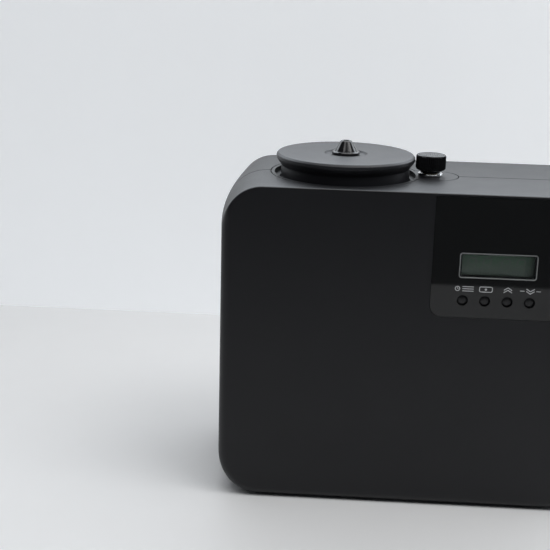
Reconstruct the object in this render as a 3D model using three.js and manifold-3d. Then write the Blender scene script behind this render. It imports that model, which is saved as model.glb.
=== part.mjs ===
// Programmable scent diffuser: a two-shell housing with a bottle bay, a round bottle cap that
// carries the atomiser and its nozzle, a flow knob, and a glossy control panel.
// Millimetres, +Z up, +X right, the control panel faces -Y. Origin: bottom centre of the body.

import * as THREE from 'three';
import { mergeVertices } from 'three/addons/utils/BufferGeometryUtils.js';
import Module from 'manifold-3d';

const wasm = await Module();
wasm.setup();

// ---------------------------------------------------------------- driving dimensions

const BODY = { left: -104.6, right: 109.4, depth: 96.7, bottom: 0.8, top: 180, corner: 25, wall: 2.6 };
const BOW = 3.4; // how far the body's sides curve in from the seam to the front and back faces
const EDGE = { side: 5, top: 0.8 }; // rounding round the front and back faces
const MIDDLE = (BODY.left + BODY.right) / 2;
const GAP = 0.3; // clearance left between fitted pieces
const SEAM_GAP = GAP / 2; // each shell stops this far from the middle plane
const REACH = 200; // half the size of a block that is larger than the object
const HALF_DEPTH = BODY.depth / 2;
const INNER_FRONT = -HALF_DEPTH + BODY.wall;
const FLOOR = BODY.bottom + BODY.wall;
const CEILING = BODY.top - BODY.wall;
const ROOT_SINK = 0.4; // how far a boss or rib runs into the wall that carries it

const CAP = { x: -36.6, discRadius: 39.0, collarRadius: 36.2, plugRadius: 34.2, top: 191.2 };
const KNOB = { x: 11.3, radius: 8.4, bottom: 182, top: 192.1 };
const INSERT = {
  capRadius: 41.7, knobRadius: 14.9, knobX: 12.1, bore: 37, trench: 39.8, trenchDepth: 2.9, flange: 1.2,
};
const ROUND = 28; // sides of the large round pieces
const SLEEVE = { inner: 35, outer: 37, bottom: 10, floor: 2.4, top: 174.3 };
const PORT = { z: 168, angle: THREE.MathUtils.degToRad(40), reach: 45.5 };

const PANEL = { left: 11.85, right: 81.85, bottom: 112.3, top: 178.4, corner: 6.5, thickness: 1 };
const DISPLAY = { x: 46.85, z: 141.35, width: 41.3, height: 13.9, line: 0.5, corner: 1.5 };
const BUTTON = { z: 121.9, hole: 3.05, x: { mode: 29.0, set: 40.9, up: 52.8, down: 64.7 } };
const BOARD = { left: 16, right: 80, bottom: 113.5, top: 172, front: -36.4, thickness: 1.6 };
const BOARD_POST = { inset: 3.2, radius: 2.8, pilot: 1.3 };

const PUMP = { y: 8, z: 46, left: 24, right: 47.4, width: 34, bottom: 29.2, top: 63, throw: 1.6 };
const TRAY = { left: 22, right: 86, front: -12, back: 28, bottom: 26.9, thickness: 2 };
const MOUNT = { radius: 4.2, post: 5, bottom: 14.3, xs: [30, 76], ys: [-7, 23] };
const JACK = { x: 64, z: 20, barrel: 5.4, recess: 9.5, recessFloor: 45.35, pad: 12, padFront: 43.2 };
const VENT = { count: 6, left: 28, pitch: 8, width: 2.4, bottom: 58, top: 88 };
const FOOT = { radius: 7.2, height: 1.7, x: 66, y: 32 };
const CASE_SCREW = { x: 88, zs: [14, 166], seat: 16, hole: 1.8, shank: 1.5, head: 3.2, well: 3.8 };
const SCREW_BOSS = { front: 4.6, rear: 5.6 };
const BARB = { radius: 1.7, bore: 0.9 };
const HOSE = { outer: 3.2, inner: 2.2 };
const LEAD_RADIUS = 1.2;

// ---------------------------------------------------------------- solids

function toSolid(geometry) {
  const bare = geometry.clone();
  bare.deleteAttribute('normal');
  bare.deleteAttribute('uv');
  const merged = mergeVertices(bare, 1e-5);
  const position = merged.attributes.position;
  const corner = (i) => new THREE.Vector3().fromBufferAttribute(position, i);
  const triangles = [];
  let volume = 0;
  for (let i = 0; i < merged.index.count; i += 3) {
    const [a, b, c] = [0, 1, 2].map((k) => merged.index.getX(i + k));
    if (a === b || b === c || c === a) continue;
    triangles.push([a, b, c]);
    volume += corner(a).dot(corner(b).cross(corner(c)));
  }
  const outward = volume < 0 ? triangles.map(([a, b, c]) => [a, c, b]) : triangles;
  return new wasm.Manifold(new wasm.Mesh({
    numProp: 3,
    vertProperties: Float32Array.from(position.array),
    triVerts: Uint32Array.from(outward.flat()),
  }));
}

function toGeometry(solid) {
  const mesh = solid.getMesh();
  const geometry = new THREE.BufferGeometry();
  geometry.setAttribute('position', new THREE.BufferAttribute(mesh.vertProperties, 3));
  geometry.setIndex(new THREE.BufferAttribute(mesh.triVerts, 1));
  geometry.computeVertexNormals();
  return geometry;
}

const join = (first, ...rest) => rest.reduce((whole, piece) => whole.add(piece), first);
const cut = (first, ...tools) => tools.reduce((whole, tool) => whole.subtract(tool), first);

function block(x0, x1, y0, y1, z0, z1) {
  const geometry = new THREE.BoxGeometry(x1 - x0, y1 - y0, z1 - z0);
  return toSolid(geometry.translate((x0 + x1) / 2, (y0 + y1) / 2, (z0 + z1) / 2));
}

function rodX(radius, y, z, x0, x1, sides = 12) {
  const geometry = new THREE.CylinderGeometry(radius, radius, x1 - x0, sides);
  return toSolid(geometry.rotateZ(Math.PI / 2).translate((x0 + x1) / 2, y, z));
}

function rodY(radius, x, z, y0, y1, sides = 12) {
  const geometry = new THREE.CylinderGeometry(radius, radius, y1 - y0, sides);
  return toSolid(geometry.translate(x, (y0 + y1) / 2, z));
}

function rodZ(radius, x, y, z0, z1, sides = 12) {
  const geometry = new THREE.CylinderGeometry(radius, radius, z1 - z0, sides);
  return toSolid(geometry.rotateX(Math.PI / 2).translate(x, y, (z0 + z1) / 2));
}

// A turned piece from [radius, height] points, with its axis along Z through x, y.
function turned(points, x = 0, y = 0, sides = 32) {
  const profile = points.map(([r, h]) => new THREE.Vector2(r, h));
  return toSolid(new THREE.LatheGeometry(profile, sides).rotateX(Math.PI / 2).translate(x, y, 0));
}

// A ring of rectangular section: its profile closes on itself.
function ring(inner, outer, z0, z1, x = 0, y = 0, sides = 32) {
  return turned([[inner, z0], [outer, z0], [outer, z1], [inner, z1], [inner, z0]], x, y, sides);
}

function roundedRect(x0, x1, z0, z1, lower, upper = lower) {
  const shape = new THREE.Shape();
  shape.moveTo(x0 + lower, z0);
  shape.lineTo(x1 - lower, z0);
  if (lower) shape.absarc(x1 - lower, z0 + lower, lower, -Math.PI / 2, 0, false);
  shape.lineTo(x1, z1 - upper);
  if (upper) shape.absarc(x1 - upper, z1 - upper, upper, 0, Math.PI / 2, false);
  shape.lineTo(x0 + upper, z1);
  if (upper) shape.absarc(x0 + upper, z1 - upper, upper, Math.PI / 2, Math.PI, false);
  shape.lineTo(x0, z0 + lower);
  if (lower) shape.absarc(x0 + lower, z0 + lower, lower, Math.PI, 1.5 * Math.PI, false);
  return shape;
}

// An outline in the XZ plane, given depth along Y.
function slab(shape, y0, y1) {
  const options = { depth: y1 - y0, bevelEnabled: false, curveSegments: 2 };
  const geometry = new THREE.ExtrudeGeometry(shape, options);
  return toSolid(geometry.rotateX(Math.PI / 2).translate(0, y1, 0));
}

// Points round the body's rounded outline, shrunk by inset, each with its outward direction.
function bodyOutline(inset, steps) {
  const { left, right, bottom, top, corner } = BODY;
  const centres = [
    [right - corner, bottom + corner], [right - corner, top - corner],
    [left + corner, top - corner], [left + corner, bottom + corner],
  ];
  return centres.flatMap(([x, z], quarter) => Array.from({ length: steps + 1 }, (_, k) => {
    const angle = (quarter - 1 + k / steps) * Math.PI / 2;
    const [nx, nz] = [Math.cos(angle), Math.sin(angle)];
    return { x: x + (corner - inset) * nx, z: z + (corner - inset) * nz, nx, nz };
  }));
}

// The body's block, shrunk by inset: bowed sides, and front and back edges whose rounding is
// small along the top and wide along the sides and the bottom.
function bodyBlock(inset, cornerSteps, edgeSteps) {
  const outline = bodyOutline(inset, cornerSteps);
  const half = HALF_DEPTH - inset;
  const ringAt = (side, depthAndPull) => outline.map((point) => {
    const sharpness = THREE.MathUtils.smoothstep(point.nz, 0.15, 0.7);
    const radius = Math.max(THREE.MathUtils.lerp(EDGE.side, EDGE.top, sharpness) - 0.75 * inset, 0.3);
    const [depth, pull] = depthAndPull(radius);
    const inward = pull + BOW * (point.nx * depth / HALF_DEPTH) ** 2;
    return [point.x - point.nx * inward, side * depth, point.z - point.nz * inward];
  });
  const edge = Array.from({ length: edgeSteps + 1 }, (_, k) => {
    const angle = (1 - k / edgeSteps) * Math.PI / 2;
    return (radius) => [half - radius * (1 - Math.sin(angle)), radius * (1 - Math.cos(angle))];
  });
  const stations = [...edge, () => [half / 2, 0]];
  return loft([
    ...stations.map((station) => ringAt(-1, station)),
    ringAt(1, () => [0, 0]),
    ...stations.reverse().map((station) => ringAt(1, station)),
  ]);
}

// A closed skin over rings of points, with a flat face at each end.
function loft(rings) {
  const count = rings[0].length;
  const index = [];
  for (let i = 1; i < rings.length; i += 1) {
    for (let k = 0; k < count; k += 1) {
      const [a, b] = [(i - 1) * count + k, (i - 1) * count + (k + 1) % count];
      index.push(a, b, b + count, a, b + count, a + count);
    }
  }
  const last = (rings.length - 1) * count;
  for (let k = 1; k < count - 1; k += 1) {
    index.push(0, k + 1, k, last, last + k, last + k + 1);
  }
  const geometry = new THREE.BufferGeometry();
  geometry.setAttribute('position', new THREE.Float32BufferAttribute(rings.flat(2), 3));
  geometry.setIndex(index);
  return toSolid(geometry);
}

// A hose or lead along a smooth curve through the given points; inner 0 makes it solid.
function alongCurve(points, outer, inner, sides, steps) {
  const section = new THREE.Shape().absarc(0, 0, outer, 0, 2 * Math.PI, false);
  if (inner) section.holes.push(new THREE.Path().absarc(0, 0, inner, 0, 2 * Math.PI, true));
  const stops = points.map((p) => new THREE.Vector3(...p));
  const extrudePath = new THREE.CatmullRomCurve3(stops, false, 'centripetal');
  return toSolid(new THREE.ExtrudeGeometry(section, { extrudePath, steps, curveSegments: sides / 2 }));
}

function keyhole(grow, z0, z1) {
  return join(
    rodZ(INSERT.capRadius + grow, CAP.x, 0, z0, z1, ROUND),
    rodZ(INSERT.knobRadius + grow, INSERT.knobX, 0, z0, z1, 24),
  );
}

// ---------------------------------------------------------------- materials and assembly

const finish = (color, roughness, metalness = 0) => ({ color, roughness, metalness });

const FINISH = {
  shell: finish(0x1b1c1f, 0.48),
  cap: finish(0x1d1e21, 0.5),
  gloss: finish(0x0c0d0e, 0.12),
  light: finish(0x8c9090, 0.4),
  glass: finish(0x39403c, 0.1),
  board: finish(0x1d4a2c, 0.55),
  natural: finish(0xd8d4c8, 0.6),
  rubber: finish(0x151515, 0.85),
  silicone: finish(0xdfe2df, 0.4),
  aluminium: finish(0xc4c7ca, 0.32, 1),
  steel: finish(0x9fa2a5, 0.35, 1),
  chrome: finish(0xe0e2e4, 0.08, 1),
  brass: finish(0xb08d4a, 0.35, 1),
  enamel: finish(0x2b3036, 0.45),
  lead: finish(0x9c1d1d, 0.6),
};

const diffuser = new THREE.Group();
diffuser.name = 'scent_diffuser';
diffuser.position.x = -MIDDLE; // the pieces' places are measured from the bay's side; this centres them

function place(name, solid, look, x = 0, y = 0, z = 0) {
  const mesh = new THREE.Mesh(toGeometry(solid), new THREE.MeshStandardMaterial(FINISH[look]));
  mesh.name = name;
  mesh.position.set(x, y, z);
  diffuser.add(mesh);
}

const screwSpots = [-1, 1].flatMap((side) => CASE_SCREW.zs.map((z) => [MIDDLE + side * CASE_SCREW.x, z]));
const footSpots = [-1, 1].flatMap((sx) => [-1, 1].map((sy) => [MIDDLE + sx * FOOT.x, sy * FOOT.y]));
const boardPosts = [BOARD.left + BOARD_POST.inset, BOARD.right - BOARD_POST.inset]
  .flatMap((x) => [BOARD.bottom + BOARD_POST.inset, BOARD.top - BOARD_POST.inset].map((z) => [x, z]));

// ---------------------------------------------------------------- housing shells

// One half of the hollow body with what both halves share: the opening for the top insert,
// foot recesses, a rib and a pad that seat the bottle sleeve, and posts under the pump mounts.
function halfShell(side) {
  const [y0, y1] = side > 0 ? [SEAM_GAP, REACH] : [-REACH, -SEAM_GAP];
  const half = block(-REACH, REACH, y0, y1, -REACH, REACH);
  const root = FLOOR - ROOT_SINK;
  const ribInner = SLEEVE.outer + 0.4;
  const rib = ring(ribInner, ribInner + 2, root, SLEEVE.bottom + 3, CAP.x, 0, ROUND);
  const pads = [-18, 18].map((y) => rodZ(6, CAP.x, y, root, SLEEVE.bottom - GAP, 12));
  const posts = MOUNT.xs.flatMap((x) => MOUNT.ys.map(
    (y) => rodZ(MOUNT.post, x, y, root, MOUNT.bottom - GAP, 12),
  ));
  const recesses = footSpots.map(([x, y]) => rodZ(FOOT.radius + 0.4, x, y, -1, FOOT.height + GAP, 16));
  const hollow = cut(bodyBlock(0, 4, 3), bodyBlock(BODY.wall, 4, 1));
  const filled = join(hollow, rib, ...pads, ...posts);
  return cut(filled.intersect(half), keyhole(GAP, CEILING - 1, BODY.top + 1), ...recesses);
}

function frontShell() {
  const pocketFloor = -HALF_DEPTH + PANEL.thickness + GAP;
  const pocket = slab(
    roundedRect(
      PANEL.left - GAP, PANEL.right + GAP, PANEL.bottom - GAP, PANEL.top + GAP, PANEL.corner + GAP, 0,
    ),
    -HALF_DEPTH - 1,
    pocketFloor,
  );
  const window = displayRect(DISPLAY.line + 0.6, pocketFloor - 1, INNER_FRONT + 1);
  const holes = Object.values(BUTTON.x).map(
    (x) => rodY(BUTTON.hole, x, BUTTON.z, -HALF_DEPTH - 1, INNER_FRONT + 1),
  );
  const screwBosses = screwSpots.map(
    ([x, z]) => rodY(SCREW_BOSS.front, x, z, INNER_FRONT - ROOT_SINK, -SEAM_GAP),
  );
  const screwHoles = screwSpots.map(([x, z]) => rodY(CASE_SCREW.hole, x, z, -14, 1, 8));
  const posts = boardPosts.map(
    ([x, z]) => rodY(BOARD_POST.radius, x, z, INNER_FRONT - ROOT_SINK, BOARD.front - GAP, 10),
  );
  const pilots = boardPosts.map(
    ([x, z]) => rodY(BOARD_POST.pilot, x, z, BOARD.front - 6.5, BOARD.front + 1, 8),
  );
  const shell = join(halfShell(-1), ...screwBosses, ...posts);
  return cut(shell, pocket, window, ...holes, ...screwHoles, ...pilots);
}

function rearShell() {
  const outside = HALF_DEPTH + 1;
  const innerBack = HALF_DEPTH - BODY.wall;
  const bosses = screwSpots.map(([x, z]) => rodY(SCREW_BOSS.rear, x, z, SEAM_GAP, innerBack + ROOT_SINK));
  const shafts = screwSpots.map(([x, z]) => rodY(CASE_SCREW.hole, x, z, -1, CASE_SCREW.seat + 1, 8));
  const wells = screwSpots.map(([x, z]) => rodY(CASE_SCREW.well, x, z, CASE_SCREW.seat, outside));
  const jackPad = rodY(JACK.pad, JACK.x, JACK.z, JACK.padFront, innerBack + ROOT_SINK, 20);
  const jackRecess = rodY(JACK.recess, JACK.x, JACK.z, JACK.recessFloor, outside, 20);
  const jackHole = rodY(JACK.barrel + GAP, JACK.x, JACK.z, 40, outside, 16);
  const vents = Array.from({ length: VENT.count }, (_, i) => {
    const x = VENT.left + i * VENT.pitch;
    return block(x, x + VENT.width, innerBack - 1, outside, VENT.bottom, VENT.top);
  });
  const shell = join(halfShell(1), ...bosses, jackPad);
  return cut(shell, ...shafts, ...wells, jackRecess, jackHole, ...vents);
}

function caseScrew() {
  const shank = rodY(CASE_SCREW.shank, 0, 0, -CASE_SCREW.seat - 12, 0.4, 8);
  const slot = block(-0.5, 0.5, 1.8, 3, -2.4, 2.4);
  return cut(join(rodY(CASE_SCREW.head, 0, 0, GAP, 2.8), shank), slot);
}

place('front_shell', frontShell(), 'shell');
place('rear_shell', rearShell(), 'shell');
screwSpots.forEach(([x, z], i) => place(`case_screw_${i + 1}`, caseScrew(), 'steel', x, CASE_SCREW.seat, z));
footSpots.forEach(([x, y], i) => {
  place(`rubber_foot_${i + 1}`, rodZ(FOOT.radius, 0, 0, 0, FOOT.height, 16), 'rubber', x, y);
});

// ---------------------------------------------------------------- top insert and bottle bay

function topInsert() {
  const plate = join(keyhole(0, CEILING - 1, BODY.top), keyhole(INSERT.flange, CEILING - 2.8, CEILING - GAP));
  const bore = rodZ(INSERT.bore, CAP.x, 0, CEILING - 5, BODY.top + 1, ROUND);
  const trench = rodZ(INSERT.trench, CAP.x, 0, BODY.top - INSERT.trenchDepth, BODY.top + 1, ROUND);
  const valveHole = rodZ(4.2, KNOB.x, 0, CEILING - 5, BODY.top + 1, 20);
  return cut(plate, bore, trench, valveHole);
}

// A deep cup that guides the bottle and seals on the cap's two rings, with an air barb on its side.
function bottleSleeve() {
  const cup = turned([
    [0, SLEEVE.bottom],
    [SLEEVE.outer, SLEEVE.bottom],
    [SLEEVE.outer, SLEEVE.top],
    [SLEEVE.inner, SLEEVE.top],
    [SLEEVE.inner, SLEEVE.bottom + SLEEVE.floor],
    [0, SLEEVE.bottom + SLEEVE.floor],
  ], 0, 0, ROUND);
  const barb = rodX(BARB.radius, 0, PORT.z, SLEEVE.inner + 1, PORT.reach, 12);
  const bore = rodX(BARB.bore, 0, PORT.z, SLEEVE.inner - 2, PORT.reach + 1, 10);
  const port = cut(join(cup, turnAboutZ(barb, PORT.angle)), turnAboutZ(bore, PORT.angle));
  return port;
}

function turnAboutZ(solid, angle) {
  return toSolid(toGeometry(solid).rotateZ(angle));
}

place('top_insert', topInsert(), 'cap');
place('bottle_sleeve', bottleSleeve(), 'natural', CAP.x);

// ---------------------------------------------------------------- bottle cartridge and cap

function bottle() {
  return turned([
    [0, 13], [30.5, 13], [32.5, 15], [32.5, 143], [29.5, 148.4], [23.4, 151.2], [23.4, 163],
    [22.2, 163], [22.2, 150.4], [28.6, 147.4], [31.2, 142.6], [31.2, 15.6], [30, 14.4], [0, 14.4],
  ], 0, 0, ROUND);
}

const SOCKET_TOP = 165; // underside of the cap's web, over the bottle's mouth
const SEAL_HEIGHTS = { lower: 164.6, upper: 171.4 };
const NOZZLE_BORE = 6.3;
const DISH_FLOOR = 190;

function cap() {
  const { discRadius, collarRadius, plugRadius, top } = CAP;
  const body = turned([
    [NOZZLE_BORE, SOCKET_TOP], [23.9, SOCKET_TOP], [23.9, 151.5], [plugRadius - 0.8, 151.5],
    [plugRadius, 152.3], [plugRadius, SLEEVE.top + GAP], [collarRadius, SLEEVE.top + GAP],
    [collarRadius, 184.2], [discRadius - 0.7, 186.9], [discRadius, 188.2], [discRadius, 190.2],
    [discRadius - 0.9, top], [11.7, top], [11.2, DISH_FLOOR], [NOZZLE_BORE, DISH_FLOOR],
    [NOZZLE_BORE, SOCKET_TOP],
  ], 0, 0, ROUND);
  const airGroove = ring(plugRadius - 1, plugRadius + 1, PORT.z - 1.2, PORT.z + 1.2, 0, 0, ROUND);
  const sealGrooves = Object.values(SEAL_HEIGHTS).map(
    (z) => ring(plugRadius - 1.6, plugRadius + 1, z - 1.2, z + 1.2, 0, 0, ROUND),
  );
  const airChannel = rodX(1.1, 0, PORT.z, 4, plugRadius, 10);
  return cut(body, airGroove, ...sealGrooves, airChannel);
}

function capSeal(z) {
  const [inner, outer] = [CAP.plugRadius - 1.3, CAP.plugRadius + 0.4];
  const middle = (inner + outer) / 2;
  return turned([
    [inner, z], [middle, z - 0.9], [outer, z], [middle, z + 0.9], [inner, z],
  ], 0, 0, ROUND);
}

// Turned atomiser body: spigot for the dip tube, flange under the cap's web, cross hole for the air.
function atomiser() {
  const bore = 1;
  const body = turned([
    [bore, 143], [1.5, 143], [1.5, 150], [6, 150], [6, 162.5], [10, 162.5], [10, SOCKET_TOP - GAP],
    [6, SOCKET_TOP - GAP], [6, 180], [bore, 180], [bore, 143],
  ], 0, 0, 16);
  return cut(body, rodX(1.1, 0, PORT.z, 0.5, 8, 10));
}

function nozzle() {
  return turned([
    [2.4, 180.3], [5.9, 180.3], [5.9, DISH_FLOOR + GAP], [7.75, DISH_FLOOR + GAP], [7.75, 191.9],
    [7.3, 192.3], [6.2, 192.3], [3.2, 198], [2.9, 198.2], [1.7, 198.2], [1.7, 197.4], [1, 197], [1, 190],
    [2.4, 188], [2.4, 180.3],
  ], 0, 0, 16);
}

place('bottle', bottle(), 'aluminium', CAP.x);
place('bottle_gasket', ring(21.9, 23.5, 163.3, SOCKET_TOP - GAP, 0, 0, ROUND), 'rubber', CAP.x);
place('cap', cap(), 'cap', CAP.x);
place('cap_seal_lower', capSeal(SEAL_HEIGHTS.lower), 'rubber', CAP.x);
place('cap_seal_upper', capSeal(SEAL_HEIGHTS.upper), 'rubber', CAP.x);
place('atomiser', atomiser(), 'aluminium', CAP.x);
place('nozzle', nozzle(), 'gloss', CAP.x);
place('dip_tube', ring(1.8, 3, 18, 149.7, 0, 0, 16), 'silicone', CAP.x);

// ---------------------------------------------------------------- flow valve and knob

function valveBody() {
  const body = turned([
    [BARB.bore, 137], [BARB.radius, 137], [BARB.radius, 146], [7, 146], [7, 174.3], [3.8, 174.3], [3.8, 183],
    [1.9, 183], [1.9, 158], [BARB.bore, 156], [BARB.bore, 137],
  ], 0, 0, 20);
  const outlet = rodY(BARB.radius, 0, 160, 6.4, 15.5, 12);
  return cut(join(body, outlet), rodY(BARB.bore, 0, 160, 1, 16.5, 10));
}

function flowKnob() {
  const { radius, bottom, top } = KNOB;
  return turned([
    [0, 188.4], [1.8, 188.4], [1.8, 183.4], [4.2, 183.4], [4.2, bottom], [5.7, bottom],
    [5.7, bottom + 1.1], [radius - 0.7, bottom + 1.5], [radius, bottom + 2.3], [radius, top - 0.8],
    [radius - 0.6, top], [0, top],
  ], 0, 0, 24);
}

place('valve_body', valveBody(), 'brass', KNOB.x);
place('valve_nut', ring(4.2, 6.9, BODY.top + GAP, 181.6, 0, 0, 24), 'chrome', KNOB.x);
place('valve_spindle', turned([[0, 160.5], [1.5, 163], [1.5, 188], [0, 188]], 0, 0, 12), 'steel', KNOB.x);
place('flow_knob', flowKnob(), 'gloss', KNOB.x);

// ---------------------------------------------------------------- control panel and display

function displayRect(inset, y0, y1) {
  const x = DISPLAY.width / 2 - inset;
  const z = DISPLAY.height / 2 - inset;
  const corner = Math.max(DISPLAY.corner - inset, 0.4);
  return slab(roundedRect(DISPLAY.x - x, DISPLAY.x + x, DISPLAY.z - z, DISPLAY.z + z, corner), y0, y1);
}

function controlPanel() {
  const { left, right, bottom, top, corner, thickness } = PANEL;
  const front = -HALF_DEPTH;
  const sheet = slab(roundedRect(left, right, bottom, top, corner, 0), front, front + thickness);
  const holes = Object.values(BUTTON.x).map((x) => rodY(BUTTON.hole, x, BUTTON.z, front - 1, front + 3));
  return cut(sheet, displayRect(-GAP, front - 1, front + 3), ...holes);
}

function displayFrame() {
  const front = -HALF_DEPTH;
  const opening = displayRect(DISPLAY.line, front - 1, front + 3);
  return cut(displayRect(0, front, front + PANEL.thickness), opening);
}

function displayWindow() {
  return displayRect(DISPLAY.line + GAP, -HALF_DEPTH + GAP, -HALF_DEPTH + PANEL.thickness);
}

function tactSwitch() {
  const front = BOARD.front - GAP;
  return join(block(-3, 3, front - 3.5, front, -3, 3), rodY(1.7, 0, 0, front - 4.6, front - 3, 12));
}

function button() {
  const profile = [
    [0, -47.5], [1.9, -47.35], [2.7, -46.8], [2.7, -45.4], [3.9, -45.4], [3.9, -44.4], [1.6, -44.4],
    [1.6, -42], [0, -42],
  ];
  return toSolid(new THREE.LatheGeometry(profile.map(([r, y]) => new THREE.Vector2(r, y)), 12));
}

function controlBoard() {
  const { left, right, bottom, top, front, thickness } = BOARD;
  const sheet = slab(roundedRect(left, right, bottom, top, 2), front, front + thickness);
  return cut(sheet, ...boardPosts.map(([x, z]) => rodY(1.4, x, z, front - 1, front + 3, 10)));
}

function boardScrew() {
  const seat = BOARD.front + BOARD.thickness;
  return join(rodY(2.3, 0, 0, seat + GAP, seat + 1.9, 12), rodY(1, 0, 0, seat - 6, seat + 1, 8));
}

place('control_panel', controlPanel(), 'gloss');
place('display_frame', displayFrame(), 'light');
place('display_window', displayWindow(), 'glass');
place('lcd_cell', block(-23.5, 23.5, -45.4, -42.6, -10, 10), 'glass', DISPLAY.x, 0, DISPLAY.z);
const lcdHolder = block(-24, 24, -42.3, BOARD.front - GAP, -10.5, 10.5);
place('lcd_holder', lcdHolder, 'natural', DISPLAY.x, 0, DISPLAY.z);
place('control_board', controlBoard(), 'board');
for (const [name, x] of Object.entries(BUTTON.x)) {
  place(`tact_switch_${name}`, tactSwitch(), 'natural', x, 0, BUTTON.z);
  place(`button_${name}`, button(), 'gloss', x, 0, BUTTON.z);
}
[boardPosts[0], boardPosts[3]].forEach(([x, z], i) => {
  place(`board_screw_${i + 1}`, boardScrew(), 'steel', x, 0, z);
});

// ---------------------------------------------------------------- air pump

const pumpBack = PUMP.y + PUMP.width / 2;
const pumpFront = PUMP.y - PUMP.width / 2;
const MOTOR = { left: PUMP.right + 0.4, right: 84, radius: 13.5 };
const YOKE = { left: 31, right: 37 };
const HEAD = { bottom: PUMP.top + 2.3, top: 78, barbTop: 87, outlet: [30, 2], inlet: [41, 14] };

function pumpTray() {
  const top = TRAY.bottom + TRAY.thickness;
  const plate = block(TRAY.left, TRAY.right, TRAY.front, TRAY.back, TRAY.bottom, top);
  const cradle = block(60, 70, PUMP.y - 10, PUMP.y + 10, top - 0.5, PUMP.z - 8);
  return cut(join(plate, cradle), rodX(MOTOR.radius + GAP, PUMP.y, PUMP.z, 50, 90, 20));
}

function rubberMount() {
  const { radius, bottom } = MOUNT;
  const top = TRAY.bottom - GAP;
  const waist = (bottom + top) / 2;
  return turned([
    [0, bottom], [radius, bottom], [radius, waist - 2], [radius - 1.2, waist - 1], [radius - 1.2, waist + 1],
    [radius, waist + 2], [radius, top], [0, top],
  ], 0, 0, 12);
}

// An open cage: its motor wall, floor and two sides carry the head; the crank turns inside it.
function pumpFrame() {
  const wall = 3;
  const outside = block(PUMP.left, PUMP.right, pumpFront, pumpBack, PUMP.bottom, PUMP.top);
  const cavity = block(
    PUMP.left - 1, PUMP.right - wall, pumpFront + wall, pumpBack - wall, PUMP.bottom + wall, PUMP.top + 1,
  );
  return cut(outside, cavity, rodX(4, PUMP.y, PUMP.z, PUMP.left, PUMP.right + 1, 16));
}

function pumpMotor() {
  const can = rodX(MOTOR.radius, PUMP.y, PUMP.z, MOTOR.left, MOTOR.right, 20);
  return cut(can, rodX(1.9, PUMP.y, PUMP.z, MOTOR.left - 1, 58.5, 12));
}

// The crank disc sits off centre by the pump's throw, with a counterweight opposite it.
function eccentric() {
  const disc = rodX(5.2, PUMP.y, PUMP.z + PUMP.throw, YOKE.left, YOKE.right + 0.8, 14);
  const weightDisc = rodX(8, PUMP.y, PUMP.z, YOKE.right + GAP, 41.5, 14);
  const upperHalf = block(YOKE.right, 43, PUMP.y - 10, PUMP.y + 10, PUMP.z + 3.4, PUMP.z + 12);
  const bore = rodX(1.8, PUMP.y, PUMP.z, YOKE.left - 1, 43, 12);
  return cut(join(disc, cut(weightDisc, upperHalf)), bore);
}

function pumpYoke() {
  const eye = rodX(9.6, PUMP.y, PUMP.z, YOKE.left, YOKE.right, 16);
  const stem = block(YOKE.left + 0.5, YOKE.right - 0.5, PUMP.y - 2, PUMP.y + 2, PUMP.z + 8, PUMP.top - 1);
  const foot = rodZ(7, (YOKE.left + YOKE.right) / 2, PUMP.y, PUMP.top - 2.4, PUMP.top, 16);
  return cut(join(eye, stem, foot), rodX(7.3, PUMP.y, PUMP.z, YOKE.left - 1, YOKE.right + 1, 16));
}

function pumpHead() {
  const base = block(PUMP.left, PUMP.right, pumpFront, pumpBack, HEAD.bottom, HEAD.top);
  const ports = [HEAD.outlet, HEAD.inlet];
  const barbs = ports.map(([x, y]) => rodZ(BARB.radius, x, y, HEAD.top - 1, HEAD.barbTop, 12));
  const bores = ports.map(([x, y]) => rodZ(BARB.bore, x, y, HEAD.bottom + 5, HEAD.barbTop + 1, 10));
  return cut(join(base, ...barbs), ...bores);
}

function intakeFilter() {
  return turned([
    [0, 96], [5, 96], [5.5, 95.4], [5.5, 80.3], [2.1, 80.3], [2.1, 90], [0, 90],
  ], 0, 0, 16);
}

place('pump_tray', pumpTray(), 'steel');
MOUNT.xs.forEach((x, i) => MOUNT.ys.forEach((y, j) => {
  place(`rubber_mount_${2 * i + j + 1}`, rubberMount(), 'rubber', x, y);
}));
place('pump_frame', pumpFrame(), 'enamel');
place('pump_motor', pumpMotor(), 'steel');
place('motor_shaft', rodX(1.5, PUMP.y, PUMP.z, 29.5, 58, 12), 'steel');
place('eccentric', eccentric(), 'brass');
place('pump_yoke', pumpYoke(), 'natural');
const diaphragm = block(PUMP.left, PUMP.right, pumpFront, pumpBack, PUMP.top + GAP, HEAD.bottom - GAP);
place('diaphragm', diaphragm, 'rubber');
place('pump_head', pumpHead(), 'enamel');
place('intake_filter', intakeFilter(), 'natural', ...HEAD.inlet);

// ---------------------------------------------------------------- hoses, leads and power inlet

// The hose routes are chosen by hand: straight over each barb, smooth between them.
const PUMP_HOSE = [
  [30, 2, 79.2], [30, 2, 83], [30, 2, 88], [28.2, 1.8, 98], [22.5, 1.2, 110], [15.8, 0.4, 121],
  [11.7, 0, 131], [KNOB.x, 0, 138], [KNOB.x, 0, 142], [KNOB.x, 0, 145.6],
];
const VALVE_HOSE = [
  [KNOB.x, 8, 160], [KNOB.x, 12.5, 160], [KNOB.x, 17, 160.2], [10.9, 25, 161.5], [8.6, 32, 164],
  [4.2, 33.6, 166.3], [0.3, 31, 167.6], [-3.2, 28.02, 168], [-6.6, 25.17, 168],
];
const JACK_LEAD = [
  [64, 35.5, 20], [64, 33.6, 20.3], [64.2, 31.6, 21.8], [64.8, 30.8, 25], [66.5, 31, 40], [70, 31, 64],
  [66, 27, 92], [56, 0, 103], [50, -18, 106], [48.5, -26, 110], [48, -29, 114.8], [48, -31.5, 116.4],
  [48, -34.3, 116.6],
];
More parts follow.
